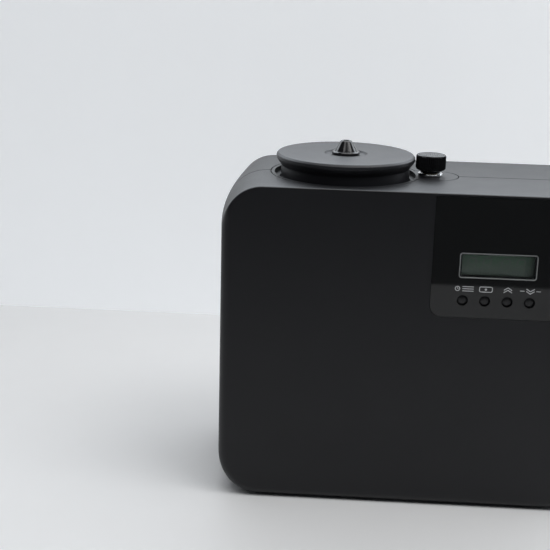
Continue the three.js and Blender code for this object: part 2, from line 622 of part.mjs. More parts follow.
const MOTOR_LEAD = [
  [84.4, 8, 50], [86.6, 7.8, 50.4], [88.6, 6.4, 53.5], [88.6, 0, 66], [79, -16, 90], [66, -24, 104],
  [62, -29, 114.5], [62, -31.5, 116.4], [62, -34.3, 116.6],
];

// A panel-mount coaxial inlet: barrel, inner flange, plug socket and centre pin.
function dcJack() {
  const { x, z, barrel } = JACK;
  const socket = rodY(2.9, x, z, 38.5, 49, 12);
  const pin = rodY(1, x, z, 37.5, 46.5, 8);
  return join(cut(join(rodY(barrel, x, z, 36, 47.9, 16), rodY(8, x, z, 40.6, 42.6, 16)), socket), pin);
}

function jackNut() {
  const { x, z, barrel, recessFloor } = JACK;
  const hexagon = rodY(8.4, x, z, recessFloor + GAP, 47.9, 6);
  return cut(hexagon, rodY(barrel + GAP, x, z, 44, 50, 16));
}

place('pump_hose', alongCurve(PUMP_HOSE, HOSE.outer, HOSE.inner, 8, 13), 'silicone');
place('valve_hose', alongCurve(VALVE_HOSE, HOSE.outer, HOSE.inner, 8, 13), 'silicone');
place('jack_lead', alongCurve(JACK_LEAD, LEAD_RADIUS, 0, 6, 26), 'lead');
place('motor_lead', alongCurve(MOTOR_LEAD, LEAD_RADIUS, 0, 6, 22), 'lead');
place('dc_jack', dcJack(), 'rubber');
place('jack_nut', jackNut(), 'steel');

export default diffuser;
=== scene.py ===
"""Visual model of a programmable scent diffuser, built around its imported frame.

The file is laid out as an add-on: settings in property groups, one operator for each piece or
group of like pieces, one for the stage, and a sidebar panel that lists them. Shapes are worked
out in millimetres and stored in metres, in the frame's own axes: +X right, +Y back, +Z up.
"""

import math

import bmesh
import bpy
from bpy.props import FloatProperty, FloatVectorProperty, IntProperty, PointerProperty
from mathutils import Matrix, Vector


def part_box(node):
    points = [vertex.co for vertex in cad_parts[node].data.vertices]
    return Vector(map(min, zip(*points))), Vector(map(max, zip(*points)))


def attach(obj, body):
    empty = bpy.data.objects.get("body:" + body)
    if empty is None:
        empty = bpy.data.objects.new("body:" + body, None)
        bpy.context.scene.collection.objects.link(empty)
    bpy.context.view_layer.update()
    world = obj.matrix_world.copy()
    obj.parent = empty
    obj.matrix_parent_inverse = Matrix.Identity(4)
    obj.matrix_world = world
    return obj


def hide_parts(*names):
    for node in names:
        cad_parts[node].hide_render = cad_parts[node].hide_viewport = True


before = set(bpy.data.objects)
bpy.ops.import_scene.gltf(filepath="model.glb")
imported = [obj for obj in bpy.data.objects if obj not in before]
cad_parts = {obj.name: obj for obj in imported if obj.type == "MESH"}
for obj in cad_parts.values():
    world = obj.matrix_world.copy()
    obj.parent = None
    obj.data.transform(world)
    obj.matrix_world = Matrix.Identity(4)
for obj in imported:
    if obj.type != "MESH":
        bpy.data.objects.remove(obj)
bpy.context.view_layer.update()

bl_info = {
    "name": "Scent Diffuser",
    "version": (1, 0, 0),
    "blender": (4, 5, 0),
    "location": "View3D > Sidebar > Diffuser",
    "description": "Builds a programmable scent diffuser piece by piece",
    "category": "Add Mesh",
}

MM = 0.001
ROUND_STEPS = 5  # segments in a small rounded corner
SIDES = 128  # segments round the insert's outline and bores, and round other large turned pieces
FINE_SIDES = 160  # segments round the cap, the bottle and the sleeve

# ---------------------------------------------------------------- places taken from the frame


def box_mm(node):
    """Lowest and highest corner of a CAD node, in millimetres."""
    low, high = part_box(node)
    return low / MM, high / MM


def centre_mm(node):
    """Middle of a CAD node's box, in millimetres."""
    low, high = box_mm(node)
    return (low + high) / 2


SHELL_LOW, SHELL_HIGH = box_mm("front_shell")
REAR_LOW, REAR_HIGH = box_mm("rear_shell")
FRONT = SHELL_LOW.y
BACK = REAR_HIGH.y
SEAM = REAR_LOW.y
TOP = SHELL_HIGH.z
BASE = SHELL_LOW.z
CAP_CENTRE = centre_mm("cap")
CAP_LOW, CAP_HIGH = box_mm("cap")
CAP_TOP = CAP_HIGH.z
CAP_RADIUS = (CAP_HIGH.y - CAP_LOW.y) / 2
KNOB_CENTRE = centre_mm("flow_knob")
KNOB_LOW, KNOB_HIGH = box_mm("flow_knob")
NOZZLE_TOP = box_mm("nozzle")[1].z
BOTTLE_LOW, BOTTLE_HIGH = box_mm("bottle")
PANEL_LOW, PANEL_HIGH = box_mm("control_panel")
DISPLAY_LOW, DISPLAY_HIGH = box_mm("display_frame")
BUTTON_NAMES = ("mode", "set", "up", "down")
BUTTON_SPOTS = {name: centre_mm("button_" + name) for name in BUTTON_NAMES}
SCREW_SPOTS = [centre_mm(f"case_screw_{i}") for i in range(1, 5)]
FOOT_SPOTS = [centre_mm(f"rubber_foot_{i}") for i in range(1, 5)]
INLET = centre_mm("jack_nut")

# ---------------------------------------------------------------- sizes of the design, in millimetres

INSERT_RADIUS = 41.7  # the big end of the top insert, round the cap
INSERT_KNOB_RADIUS = 14.9  # its small end, round the knob
INSERT_SPAN = 48.7  # from the cap's axis to the middle of the small end
INSERT_THICKNESS = 3.6
INSERT_BORE = 37.0  # radius of the bay's mouth
TRENCH_RADIUS = 39.8  # the sunk ledge round the cap's collar
TRENCH_DEPTH = 2.9
VALVE_HOLE_RADIUS = 4.2
FLANGE_GROWTH = 1.2  # the insert's flange reaches this far under the shells
FLANGE_DEPTHS = (5.4, 2.9)  # its underside and its top, below the insert's face
OPENING_GAP = 0.5  # between the insert and the shells

PANEL_GAP = 0.25  # round the panel in its pocket
PANEL_SEAT_GAP = 0.3  # behind the panel
PANEL_TOP_CORNER = 0.5  # radius of the panel's upper corners
DISPLAY_CORNER = 1.5  # radius of the corners of the display's line
DISPLAY_LEDGE = 1.3  # the shell's opening is this much smaller than the display's line
DISPLAY_CUT_GAP = 0.12  # round the display's line in the panel
KEY_HOLE_RADIUS = 3.05  # in the shell
KEY_CUT_RADIUS = 2.95  # in the panel

FOOT_RECESS_RADIUS = 7.6
FOOT_RECESS_DEPTH = 1.2
SCREW_BOSS_RADIUS = 5.6
SCREW_BOSS_START = 15.0  # depths of the bosses, wells and inlet are measured from the body's middle
SCREW_WELL_RADIUS = 3.8
SCREW_WELL_FLOOR = 16.0
INLET_PAD_RADIUS = 12
INLET_PAD_START = 43.2
INLET_RECESS_RADIUS = 9.5
INLET_RECESS_FLOOR = 45.35
INLET_HOLE_RADIUS = 5.7
INLET_HOLE_START = 40.0
BACK_SKIN = 1.5  # bosses and pads end this far inside the back face
VENT_LEFT = INLET.x - 36.0  # the air slots start here, over the pump
VENT_COUNT = 6
VENT_PITCH = 8.0
VENT_WIDTH = 2.4
VENT_BOTTOM = 58.0
VENT_TOP = 88.0

PLUG_RADIUS = 34.2
PLUG_AIR_BORE = 6.3
PLUG_SHOULDER = 165.0  # underside of the plug's solid part, over the bottle's neck
SEAL_GROOVE_DEPTH = 1.6
AIR_GROOVE_DEPTH = 1.0
CAP_COLLAR_RADIUS = 36.2
CAP_COLLAR_BASE = 174.6
CAP_DISH_RADIUS = 12.1  # the shallow dish round the nozzle
PORT_HEIGHT = 168  # the sleeve's air port
PORT_TURN = math.radians(40)  # its direction from +X towards +Y

INK = 0.02  # half the thickness of the printed ink
SYMBOL_LIFT = 6.6  # from a key's middle up to its symbol's
SYMBOL_LINE = 0.42  # width of the symbols' lines
DIGIT_PITCH = 8.0  # from one digit of the display to the next
COLON_ROOM = 2.0  # extra space between the second and the third digit
SEGMENT_FACES = (0.04, 0.02)  # the unlit segments' depth in front of and behind the cell's face
FLAT_SHARE = 0.6  # how much of each pyramid's width on the knob its flat tip keeps

# ---------------------------------------------------------------- sizes of the stage, in metres

WALL = 0.284  # where the table meets the wall
TABLE_FRONT = -0.50  # where the table ends in front of the object
STAGE_WIDTH = 5.0
WALL_HEIGHT = 2.2

# ---------------------------------------------------------------- mesh making


def new_piece(name, points, faces):
    """A mesh object from points in millimetres."""
    mesh = bpy.data.meshes.new(name)
    mesh.from_pydata([Vector(p) * MM for p in points], [], faces)
    mesh.validate()
    piece = bpy.data.objects.new(name, mesh)
    bpy.context.scene.collection.objects.link(piece)
    turn_faces_out(mesh)
    return piece


def turn_faces_out(mesh):
    """Makes every face of a closed mesh point away from its inside."""
    work = bmesh.new()
    work.from_mesh(mesh)
    bmesh.ops.recalc_face_normals(work, faces=work.faces)
    work.to_mesh(mesh)
    work.free()


def soften(points, radius, steps=ROUND_STEPS, closed=False):
    """Rounds the corners of a flat outline. A point's third value is its own radius."""
    most = 0.48  # of a side's length, so that the roundings at its two ends never meet
    count = len(points)
    softened = []
    for i, point in enumerate(points):
        corner = Vector(point[:2])
        own = point[2] if len(point) > 2 else radius
        at_end = not closed and i in (0, count - 1)
        if at_end or own <= 0:
            softened.append(tuple(corner))
            continue
        before = Vector(points[i - 1][:2]) - corner
        after = Vector(points[(i + 1) % count][:2]) - corner
        half = before.angle(after) / 2
        reach = min(own / math.tan(half), most * before.length, most * after.length)
        start = corner + before.normalized() * reach
        end = corner + after.normalized() * reach
        for k in range(steps + 1):
            t = k / steps
            softened.append(tuple(start.lerp(corner, t).lerp(corner.lerp(end, t), t)))
    return softened


def turned(name, profile, x, y, sides=SIDES):
    """A turned piece round the vertical axis through x, y, from (radius, height) points."""
    wraps = profile[0] == profile[-1]
    stations = profile[:-1] if wraps else profile
    points, rings = [], []
    for radius, height in stations:
        if radius < 1e-6:  # a point on the axis
            rings.append([len(points)] * sides)
            points.append((x, y, height))
            continue
        rings.append([len(points) + k for k in range(sides)])
        for k in range(sides):
            angle = 2 * math.pi * k / sides
            points.append((x + radius * math.cos(angle), y + radius * math.sin(angle), height))
    return new_piece(name, points, skin_rings(rings, wraps))


def skin_rings(rings, wraps):
    """Faces between neighbouring rings of point numbers; a ring that is one point gives triangles."""
    faces = []
    count = len(rings[0])
    pairs = list(zip(rings, rings[1:]))
    if wraps:
        pairs.append((rings[-1], rings[0]))
    for lower, upper in pairs:
        for k in range(count):
            n = (k + 1) % count
            corners = list(dict.fromkeys((lower[k], lower[n], upper[n], upper[k])))
            if len(corners) > 2:
                faces.append(corners)
    return faces


def loft(name, rings, wraps=False):
    """Skins rings of points, closing both ends with a flat face unless the rings wrap."""
    points = [p for ring in rings for p in ring]
    count = len(rings[0])
    indices = [[i * count + k for k in range(count)] for i in range(len(rings))]
    faces = skin_rings(indices, wraps)
    if not wraps:
        faces += [indices[0][::-1], indices[-1]]
    return new_piece(name, points, faces)


def corner_points(cx, cz, radius, quarter, steps):
    """One quarter of a rounded corner, counter-clockwise."""
    angles = [math.pi / 2 * (quarter + k / steps) for k in range(steps + 1)]
    return [(cx + radius * math.cos(angle), cz + radius * math.sin(angle)) for angle in angles]


def rounded_outline(x0, x1, z0, z1, lower, upper=None, steps=6):
    """A rounded rectangle, counter-clockwise from its lower right corner."""
    upper = lower if upper is None else upper
    return (
        corner_points(x1 - lower, z0 + lower, lower, 3, steps)
        + corner_points(x1 - upper, z1 - upper, upper, 0, steps)
        + corner_points(x0 + upper, z1 - upper, upper, 1, steps)
        + corner_points(x0 + lower, z0 + lower, lower, 2, steps)
    )


def tube_profile(inner, outer, low, high, corner):
    """Section of a plain tube or washer with rounded edges, as a closed list of points."""
    profile = soften([(inner, low), (outer, low), (outer, high), (inner, high)], corner, closed=True)
    return profile + profile[:1]


def circle(cx, cz, radius, sides):
    """A circle's points, counter-clockwise from its right."""
    step = 2 * math.pi / sides
    return [(cx + radius * math.cos(k * step), cz + radius * math.sin(k * step)) for k in range(sides)]


def keyhole_outline(grow):
    """The top insert's outline: the ring round the cap, merged with the circle round the knob."""
    big = INSERT_RADIUS + grow
    small = INSERT_KNOB_RADIUS + grow
    left = CAP_CENTRE.x
    right = CAP_CENTRE.x + INSERT_SPAN
    span = right - left
    reach = (span**2 + big**2 - small**2) / (2 * span)
    rise = math.sqrt(big**2 - reach**2)
    big_start = math.atan2(rise, reach)
    small_start = math.atan2(rise, reach - span)
    points = []
    for k in range(SIDES + 1):
        angle = big_start + (2 * math.pi - 2 * big_start) * k / SIDES
        points.append((left + big * math.cos(angle), big * math.sin(angle)))
    knob_steps = SIDES // 3
    for k in range(1, knob_steps):
        angle = -small_start + 2 * small_start * k / knob_steps
        points.append((right + small * math.cos(angle), small * math.sin(angle)))
    return points


def slab_y(name, outline, y0, y1):
    """An outline in the XZ plane, given depth along Y."""
    return loft(name, [[(x, y, z) for x, z in outline] for y in (y0, y1)])


def slab_z(name, outline, z0, z1):
    """An outline in the XY plane, given height along Z."""
    return loft(name, [[(x, y, z) for x, y in outline] for z in (z0, z1)])


def spun_y(name, profile, x, z, sides):
    """A turned piece round an axis along Y, from (radius, y) points."""
    piece = turned(name, profile, 0, 0, sides)
    upright = Matrix.Rotation(-math.pi / 2, 4, "X")
    piece.data.transform(Matrix.Translation(Vector((x, 0, z)) * MM) @ upright)
    turn_faces_out(piece.data)
    return piece


def settle(piece):
    """Turns a piece's modifiers into its mesh."""
    shown = piece.evaluated_get(bpy.context.evaluated_depsgraph_get())
    mesh = bpy.data.meshes.new_from_object(shown)
    piece.modifiers.clear()
    old = piece.data
    piece.data = mesh
    bpy.data.meshes.remove(old)


def carve(piece, tool, operation="DIFFERENCE"):
    """Cuts a tool out of a piece, or joins it on with UNION, and removes the tool."""
    step = piece.modifiers.new("carve", "BOOLEAN")
    step.object = tool
    step.operation = operation
    step.solver = "EXACT"
    settle(piece)
    drop(tool)


def drop(piece):
    """Removes an object and its mesh."""
    mesh = piece.data
    bpy.data.objects.remove(piece)
    bpy.data.meshes.remove(mesh)


def gather(name, pieces):
    """Joins several meshes into one object."""
    work = bmesh.new()
    for piece in pieces:
        work.from_mesh(piece.data)
        drop(piece)
    mesh = bpy.data.meshes.new(name)
    work.to_mesh(mesh)
    work.free()
    joined = bpy.data.objects.new(name, mesh)
    bpy.context.scene.collection.objects.link(joined)
    return joined


def dress(piece, body, material, replaces=(), edge=0.0, sharp=32):
    """Shades a finished piece, rounds its hard edges, and ties it to the frame.

    edge is the width of that rounding in millimetres, and sharp the angle in degrees from which an
    edge counts as hard.
    """
    mesh = piece.data
    mesh.materials.clear()
    mesh.materials.append(bpy.data.materials[material])
    mesh.shade_smooth()
    mesh.set_sharp_from_angle(angle=math.radians(sharp))
    if edge:
        bevel = piece.modifiers.new("edge rounding", "BEVEL")
        bevel.width = edge * MM
        bevel.segments = 2
        bevel.limit_method = "ANGLE"
        bevel.angle_limit = math.radians(sharp)
        bevel.harden_normals = True
        bevel.use_clamp_overlap = True
    weighting = piece.modifiers.new("flat faces first", "WEIGHTED_NORMAL")
    weighting.keep_sharp = True
    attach(piece, body)
    if replaces:
        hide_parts(*replaces)


# ---------------------------------------------------------------- shader groups


def new_group(name, inputs, outputs):
    """A shader node group with named sockets, and its input and output nodes."""
    group = bpy.data.node_groups.new(name, "ShaderNodeTree")
    for label, kind, value in inputs:
        made = group.interface.new_socket(label, in_out="INPUT", socket_type=kind)
        made.default_value = value
    for label, kind in outputs:
        group.interface.new_socket(label, in_out="OUTPUT", socket_type=kind)
    return group, group.nodes.new("NodeGroupInput"), group.nodes.new("NodeGroupOutput")


def add_node(tree, kind, values=None, **settings):
    """A node with its properties set and its sockets' constants filled in."""
    made = tree.nodes.new(kind)
    for key, value in settings.items():
        setattr(made, key, value)
    for key, value in (values or {}).items():
        made.inputs[key].default_value = value
    return made


def math_node(tree, operation, first, second):
    """A Math node's output; first and second are numbers or other nodes' outputs."""
    made = tree.nodes.new("ShaderNodeMath")
    made.operation = operation
    for socket, value in zip(made.inputs, (first, second)):
        if isinstance(value, (int, float)):
            socket.default_value = value
        else:
            tree.links.new(value, socket)
    return made.outputs[0]


def build_grain_group():
    """Fine spark-eroded texture of moulded plastic: grain height and a drifting roughness."""
    group, given, result = new_group(
        "Moulded Grain",
        [
            ("Scale", "NodeSocketFloat", 2500.0),
            ("Roughness", "NodeSocketFloat", 0.4),
            ("Spread", "NodeSocketFloat", 0.05),
        ],
        [("Height", "NodeSocketFloat"), ("Roughness", "NodeSocketFloat")],
    )
    place = add_node(group, "ShaderNodeTexCoord")
    fine = add_node(group, "ShaderNodeTexNoise", {"Detail": 2.0, "Roughness": 0.6})
    cells = add_node(group, "ShaderNodeTexVoronoi")
    broad = add_node(group, "ShaderNodeTexNoise", {"Scale": 45.0, "Detail": 3.0})
    link = group.links.new
    for texture in (fine, cells, broad):
        link(place.outputs["Object"], texture.inputs["Vector"])
    link(given.outputs["Scale"], fine.inputs["Scale"])
    link(given.outputs["Scale"], cells.inputs["Scale"])
    height = math_node(group, "ADD", fine.outputs[0], cells.outputs["Distance"])
    link(height, result.inputs["Height"])
    centred = math_node(group, "SUBTRACT", broad.outputs[0], 0.5)
    drift = math_node(group, "MULTIPLY", centred, given.outputs["Spread"])
    doubled = math_node(group, "MULTIPLY", drift, 2.0)
    link(math_node(group, "ADD", doubled, given.outputs["Roughness"]), result.inputs["Roughness"])


def build_drift_group():
    """Slight unevenness of a moulded, printed or coated colour."""
    group, given, result = new_group(
        "Colour Drift",
        [
            ("Color", "NodeSocketColor", (0.5, 0.5, 0.5, 1.0)),
            ("Drift", "NodeSocketFloat", 0.1),
            ("Scale", "NodeSocketFloat", 30.0),
        ],
        [("Color", "NodeSocketColor")],
    )
    place = add_node(group, "ShaderNodeTexCoord")
    cloud = add_node(group, "ShaderNodeTexNoise", {"Detail": 4.0, "Roughness": 0.55})
    shade = add_node(group, "ShaderNodeHueSaturation")
    link = group.links.new
    link(place.outputs["Object"], cloud.inputs["Vector"])
    link(given.outputs["Scale"], cloud.inputs["Scale"])
    centred = math_node(group, "SUBTRACT", cloud.outputs[0], 0.5)
    swing = math_node(group, "MULTIPLY", centred, given.outputs["Drift"])
    link(math_node(group, "ADD", swing, 1.0), shade.inputs["Value"])
    link(given.outputs["Color"], shade.inputs["Color"])
    link(shade.outputs["Color"], result.inputs["Color"])


def build_brushed_group():
    """Fine lines of turned or drawn metal, stretched by the Stretch vector."""
    group, given, result = new_group(
        "Brushed Lines",
        [
            ("Stretch", "NodeSocketVector", (60.0, 60.0, 6000.0)),
            ("Roughness", "NodeSocketFloat", 0.3),
            ("Spread", "NodeSocketFloat", 0.1),
        ],
        [("Height", "NodeSocketFloat"), ("Roughness", "NodeSocketFloat")],
    )
    place = add_node(group, "ShaderNodeTexCoord")
    stretch = add_node(group, "ShaderNodeVectorMath", operation="MULTIPLY")
    lines = add_node(group, "ShaderNodeTexNoise", {"Scale": 1.0, "Detail": 3.0})
    link = group.links.new
    link(place.outputs["Object"], stretch.inputs[0])
    link(given.outputs["Stretch"], stretch.inputs[1])
    link(stretch.outputs[0], lines.inputs["Vector"])
    link(lines.outputs[0], result.inputs["Height"])
    centred = math_node(group, "SUBTRACT", lines.outputs[0], 0.5)
    drift = math_node(group, "MULTIPLY", centred, given.outputs["Spread"])
    link(math_node(group, "ADD", drift, given.outputs["Roughness"]), result.inputs["Roughness"])


def build_dust_group():
    """A little settled dust: only on faces that look up, broken up by noise."""
    group, given, result = new_group(
        "Settled Dust",
        [
            ("Color", "NodeSocketColor", (0.02, 0.02, 0.02, 1.0)),
            ("Dust", "NodeSocketColor", (0.3, 0.3, 0.3, 1.0)),
            ("Amount", "NodeSocketFloat", 0.03),
        ],
        [("Color", "NodeSocketColor")],
    )
    place = add_node(group, "ShaderNodeTexCoord")
    specks = add_node(group, "ShaderNodeTexNoise", {"Scale": 900.0, "Detail": 5.0, "Roughness": 0.7})
    surface = add_node(group, "ShaderNodeNewGeometry")
    parts = add_node(group, "ShaderNodeSeparateXYZ")
    mix = add_node(group, "ShaderNodeMix", data_type="RGBA")
    link = group.links.new
    link(place.outputs["Object"], specks.inputs["Vector"])
    link(surface.outputs["Normal"], parts.inputs[0])
    upward = math_node(group, "MAXIMUM", parts.outputs["Z"], 0.0)
    broken = math_node(group, "MULTIPLY", upward, specks.outputs[0])
    link(math_node(group, "MULTIPLY", broken, given.outputs["Amount"]), mix.inputs["Factor"])
    link(given.outputs["Color"], mix.inputs["A"])
    link(given.outputs["Dust"], mix.inputs["B"])
    link(mix.outputs["Result"], result.inputs["Color"])


def build_groups():
    build_grain_group()
    build_drift_group()
    build_brushed_group()
    build_dust_group()


# ---------------------------------------------------------------- materials


def start_material(name, **sockets):
    """A material with its Principled shader, and constants on the shader's own sockets."""
    material = bpy.data.materials.new(name)
    material.use_nodes = True
    shader = material.node_tree.nodes["Principled BSDF"]
    for label, value in sockets.items():
        shader.inputs[label.replace("_", " ")].default_value = value
    return material, material.node_tree, shader


def use_group(tree, name, **values):
    """Places a shader group in a material, with its own values."""
    made = tree.nodes.new("ShaderNodeGroup")
    made.node_tree = bpy.data.node_groups[name]
    for label, value in values.items():
        made.inputs[label].default_value = value
    return made


def bump_from(tree, shader, height, distance):
    """Feeds a height through a Bump node into the shader's normal."""
    bump = add_node(tree, "ShaderNodeBump", {"Distance": distance, "Strength": 1.0})
    tree.links.new(height, bump.inputs["Height"])
    tree.links.new(bump.outputs["Normal"], shader.inputs["Normal"])


def rgba(color):
    return (*color, 1.0)


def moulded(name, color, roughness, spread, scale, depth, dust=0.0, drift=0.1, **sockets):
    """Plastic or rubber: drifting colour, optional dust, grain bump and uneven roughness.

    spread is how far the roughness wanders, scale the grain's fineness, depth its bump in metres.
    """
    material, tree, shader = start_material(name, **sockets)
    link = tree.links.new
    tint = use_group(tree, "Colour Drift", Color=rgba(color), Drift=drift)
    colour = tint.outputs["Color"]
    if dust:
        settled = use_group(tree, "Settled Dust", Amount=dust)
        link(colour, settled.inputs["Color"])
        colour = settled.outputs["Color"]
    link(colour, shader.inputs["Base Color"])
    grain = use_group(tree, "Moulded Grain", Scale=scale, Roughness=roughness, Spread=spread)
    link(grain.outputs["Roughness"], shader.inputs["Roughness"])
    bump_from(tree, shader, grain.outputs["Height"], depth)
    return material


def metal(name, color, roughness, stretch, spread=0.12, depth=4e-6):
    """Bare metal with fine lines: the larger a part of stretch, the closer they lie that way."""
    _, tree, shader = start_material(name, Metallic=1.0)
    link = tree.links.new
    tint = use_group(tree, "Colour Drift", Color=rgba(color), Drift=0.08, Scale=60.0)
    link(tint.outputs["Color"], shader.inputs["Base Color"])
    lines = use_group(tree, "Brushed Lines", Stretch=stretch, Roughness=roughness, Spread=spread)
    link(lines.outputs["Roughness"], shader.inputs["Roughness"])
    bump_from(tree, shader, lines.outputs["Height"], depth)


def display_material(color):
    """Unlit display: grey-green glass that is lighter and greener near its top, with painted shade darkening
    its right end.
    """
    _, tree, shader = start_material("display glass", Specular_IOR_Level=0.5)
    link = tree.links.new
    place = add_node(tree, "ShaderNodeTexCoord")
    parts = add_node(tree, "ShaderNodeSeparateXYZ")
    link(place.outputs["Object"], parts.inputs[0])
    # painted shade: over the last few millimetres at the right end the glass fades to near black
    painted_shade_width = 7
    across = add_node(tree, "ShaderNodeMapRange", {
        "From Min": (DISPLAY_HIGH.x - painted_shade_width) * MM, "From Max": DISPLAY_HIGH.x * MM, "To Max": 1.0,
    })
    link(parts.outputs["X"], across.inputs["Value"])
    grey_height = 3
    upward = add_node(tree, "ShaderNodeMapRange", {
        "From Min": (DISPLAY_LOW.z + grey_height) * MM, "From Max": DISPLAY_HIGH.z * MM, "To Max": 1.0,
    })
    link(parts.outputs["Z"], upward.inputs["Value"])
    cloud = add_node(tree, "ShaderNodeTexNoise", {"Scale": 160.0, "Detail": 3.0})
    link(place.outputs["Object"], cloud.inputs["Vector"])
    green = add_node(tree, "ShaderNodeMix", data_type="RGBA")
    green.inputs["A"].default_value = rgba(color)
    green.inputs["B"].default_value = rgba(part * more for part, more in zip(color, (0.7, 1.35, 0.85)))
    link(math_node(tree, "MULTIPLY", upward.outputs[0], cloud.outputs[0]), green.inputs["Factor"])
    # the near-black mix at the right end is painted shade, not a colour of the glass
    painted_shade_mix = add_node(tree, "ShaderNodeMix", data_type="RGBA")
    painted_shade_mix.inputs["B"].default_value = rgba((0.008, 0.008, 0.009))
    link(across.outputs[0], painted_shade_mix.inputs["Factor"])
    link(green.outputs["Result"], painted_shade_mix.inputs["A"])
    link(painted_shade_mix.outputs["Result"], shader.inputs["Base Color"])
    grain = use_group(tree, "Moulded Grain", Scale=1200.0, Roughness=0.22, Spread=0.06)
    link(grain.outputs["Roughness"], shader.inputs["Roughness"])


def board_material():
    """Circuit board: solder mask over raised tracks, with bare pads."""
    _, tree, shader = start_material("circuit board", Coat_Weight=0.4)
    link = tree.links.new
    place = add_node(tree, "ShaderNodeTexCoord")
    turn = add_node(tree, "ShaderNodeMapping", {"Rotation": (math.pi / 2, 0, 0)})
    link(place.outputs["Object"], turn.inputs["Vector"])
    tracks = add_node(tree, "ShaderNodeTexBrick", {
        "Scale": 320.0, "Mortar Size": 0.06, "Mortar Smooth": 0.3, "Bias": 0.0,
        "Color1": (0.006, 0.05, 0.018, 1.0), "Color2": (0.008, 0.07, 0.025, 1.0),
        "Mortar": (0.03, 0.16, 0.06, 1.0),
    })
    link(turn.outputs["Vector"], tracks.inputs["Vector"])
    tint = use_group(tree, "Colour Drift", Drift=0.2)
    link(tracks.outputs["Color"], tint.inputs["Color"])
    link(tint.outputs["Color"], shader.inputs["Base Color"])
    grain = use_group(tree, "Moulded Grain", Scale=1800.0, Roughness=0.35, Spread=0.1)
    link(grain.outputs["Roughness"], shader.inputs["Roughness"])
    bump_from(tree, shader, tracks.outputs["Fac"], 3e-5)


def build_plastics(finish):
    """Shells, cap, nozzle, knob, keys, panel and its print."""
    satin = {"spread": 0.05, "scale": 2600.0, "depth": 1.6e-5, "dust": 0.02}
    moulded(
        "satin shell", tuple(finish.shell_colour), finish.shell_roughness, **satin,
        Specular_IOR_Level=0.42,
    )
    moulded("satin cap", tuple(finish.cap_colour), 0.44, **satin, Specular_IOR_Level=0.38)
    gloss = tuple(finish.gloss_colour)
    moulded("gloss black", gloss, 0.13, spread=0.05, scale=300.0, depth=2e-6, dust=0.01)
    moulded(
        "panel gloss", tuple(finish.panel_colour), 0.035, spread=0.02, scale=90.0, depth=1.5e-6,
        drift=0.05, Specular_IOR_Level=0.38,
    )
    moulded("button black", gloss, 0.42, spread=0.06, scale=900.0, depth=4e-6)
    moulded(
        "printed white", tuple(finish.symbol_colour), 0.5, spread=0.08, scale=3500.0, depth=4e-6,
        drift=0.2,
    )
    moulded("frame line", (0.25, 0.26, 0.26), 0.35, spread=0.08, scale=1500.0, depth=4e-6, drift=0.25)
    moulded("unlit segments", (0.195, 0.228, 0.208), 0.3, spread=0.05, scale=1500.0, depth=1e-6)
    moulded(
        "clear window", (0.82, 0.86, 0.84), 0.04, spread=0.02, scale=120.0, depth=1e-6, drift=0.02,
        Transmission_Weight=1.0, IOR=1.45,
    )


def build_soft_materials():
    """Rubber, silicone and felt, and the plain mouldings of the inner pieces."""
    moulded(
        "rubber", (0.012, 0.012, 0.012), 0.75, spread=0.1, scale=1600.0, depth=4e-5, dust=0.05,
        drift=0.3,
    )
    moulded("natural moulding", (0.55, 0.53, 0.47), 0.45, spread=0.08, scale=1500.0, depth=1.5e-5)
    moulded(
        "milky plastic", (0.62, 0.64, 0.62), 0.35, spread=0.08, scale=900.0, depth=1e-5,
        Transmission_Weight=0.35, IOR=1.48,
    )
    moulded(
        "silicone", (0.72, 0.74, 0.72), 0.38, spread=0.1, scale=700.0, depth=1e-5,
        Transmission_Weight=0.5, IOR=1.42,
    )
    moulded("pump grey", (0.035, 0.038, 0.045), 0.42, spread=0.06, scale=2000.0, depth=2e-5)
    moulded("lead jacket", (0.32, 0.015, 0.015), 0.5, spread=0.1, scale=1200.0, depth=1e-5)
    moulded(
        "felt", (0.55, 0.54, 0.5), 0.95, spread=0.05, scale=1400.0, depth=2e-4, drift=0.4,
        Sheen_Weight=0.3,
    )


def build_metals():
    """Bottle, turned and plated parts."""
    metal("bottle metal", (0.72, 0.73, 0.74), 0.3, (40.0, 40.0, 5000.0))
    metal("turned metal", (0.66, 0.67, 0.68), 0.28, (300.0, 300.0, 4000.0))
    metal("zinc steel", (0.55, 0.56, 0.56), 0.34, (700.0, 700.0, 700.0), spread=0.15, depth=6e-6)
    metal("chrome", (0.17, 0.175, 0.185), 0.14, (500.0, 500.0, 500.0), spread=0.05, depth=4e-7)
    metal("brass", (0.62, 0.45, 0.19), 0.27, (400.0, 400.0, 4000.0))


def build_materials(finish):
    """Makes the shader groups first, because every material uses them."""
    build_groups()
    build_plastics(finish)
    build_soft_materials()
    build_metals()
    display_material(tuple(finish.display_colour))
    board_material()


# ---------------------------------------------------------------- settings


class HousingSettings(bpy.types.PropertyGroup):
    corner: FloatProperty(
        name="Corner radius", description="Rounding of the body's outline",
        default=0.0250, unit="LENGTH",
    )
    bow: FloatProperty(
        name="Bow", description="How far the sides curve in from the seam to the front and back faces",
        default=0.0034, unit="LENGTH",
    )
    side_edge: FloatProperty(
        name="Side edge", description="Rounding of the front and back faces at the sides and bottom",
        default=0.0050, unit="LENGTH",
    )
    top_edge: FloatProperty(
        name="Top edge", description="Rounding of the front and back faces along the top",
        default=0.0008, unit="LENGTH",
    )
    wall: FloatProperty(
        name="Wall", description="Thickness of the shells", default=0.0026, unit="LENGTH",
    )
    seam_chamfer: FloatProperty(
        name="Seam chamfer", description="Small bevel on both sides of the seam",
        default=0.0004, unit="LENGTH",
    )


class KnobSettings(bpy.types.PropertyGroup):
    flutes: IntProperty(name="Flutes", description="Grooves round the knob's side", default=44)
    flute_depth: FloatProperty(
        name="Flute depth", description="Depth of each groove", default=0.00045, unit="LENGTH",
    )
    diamond: FloatProperty(
        name="Diamond pitch", description="Spacing of the pyramids on the knob's top",
        default=0.0017, unit="LENGTH",
    )


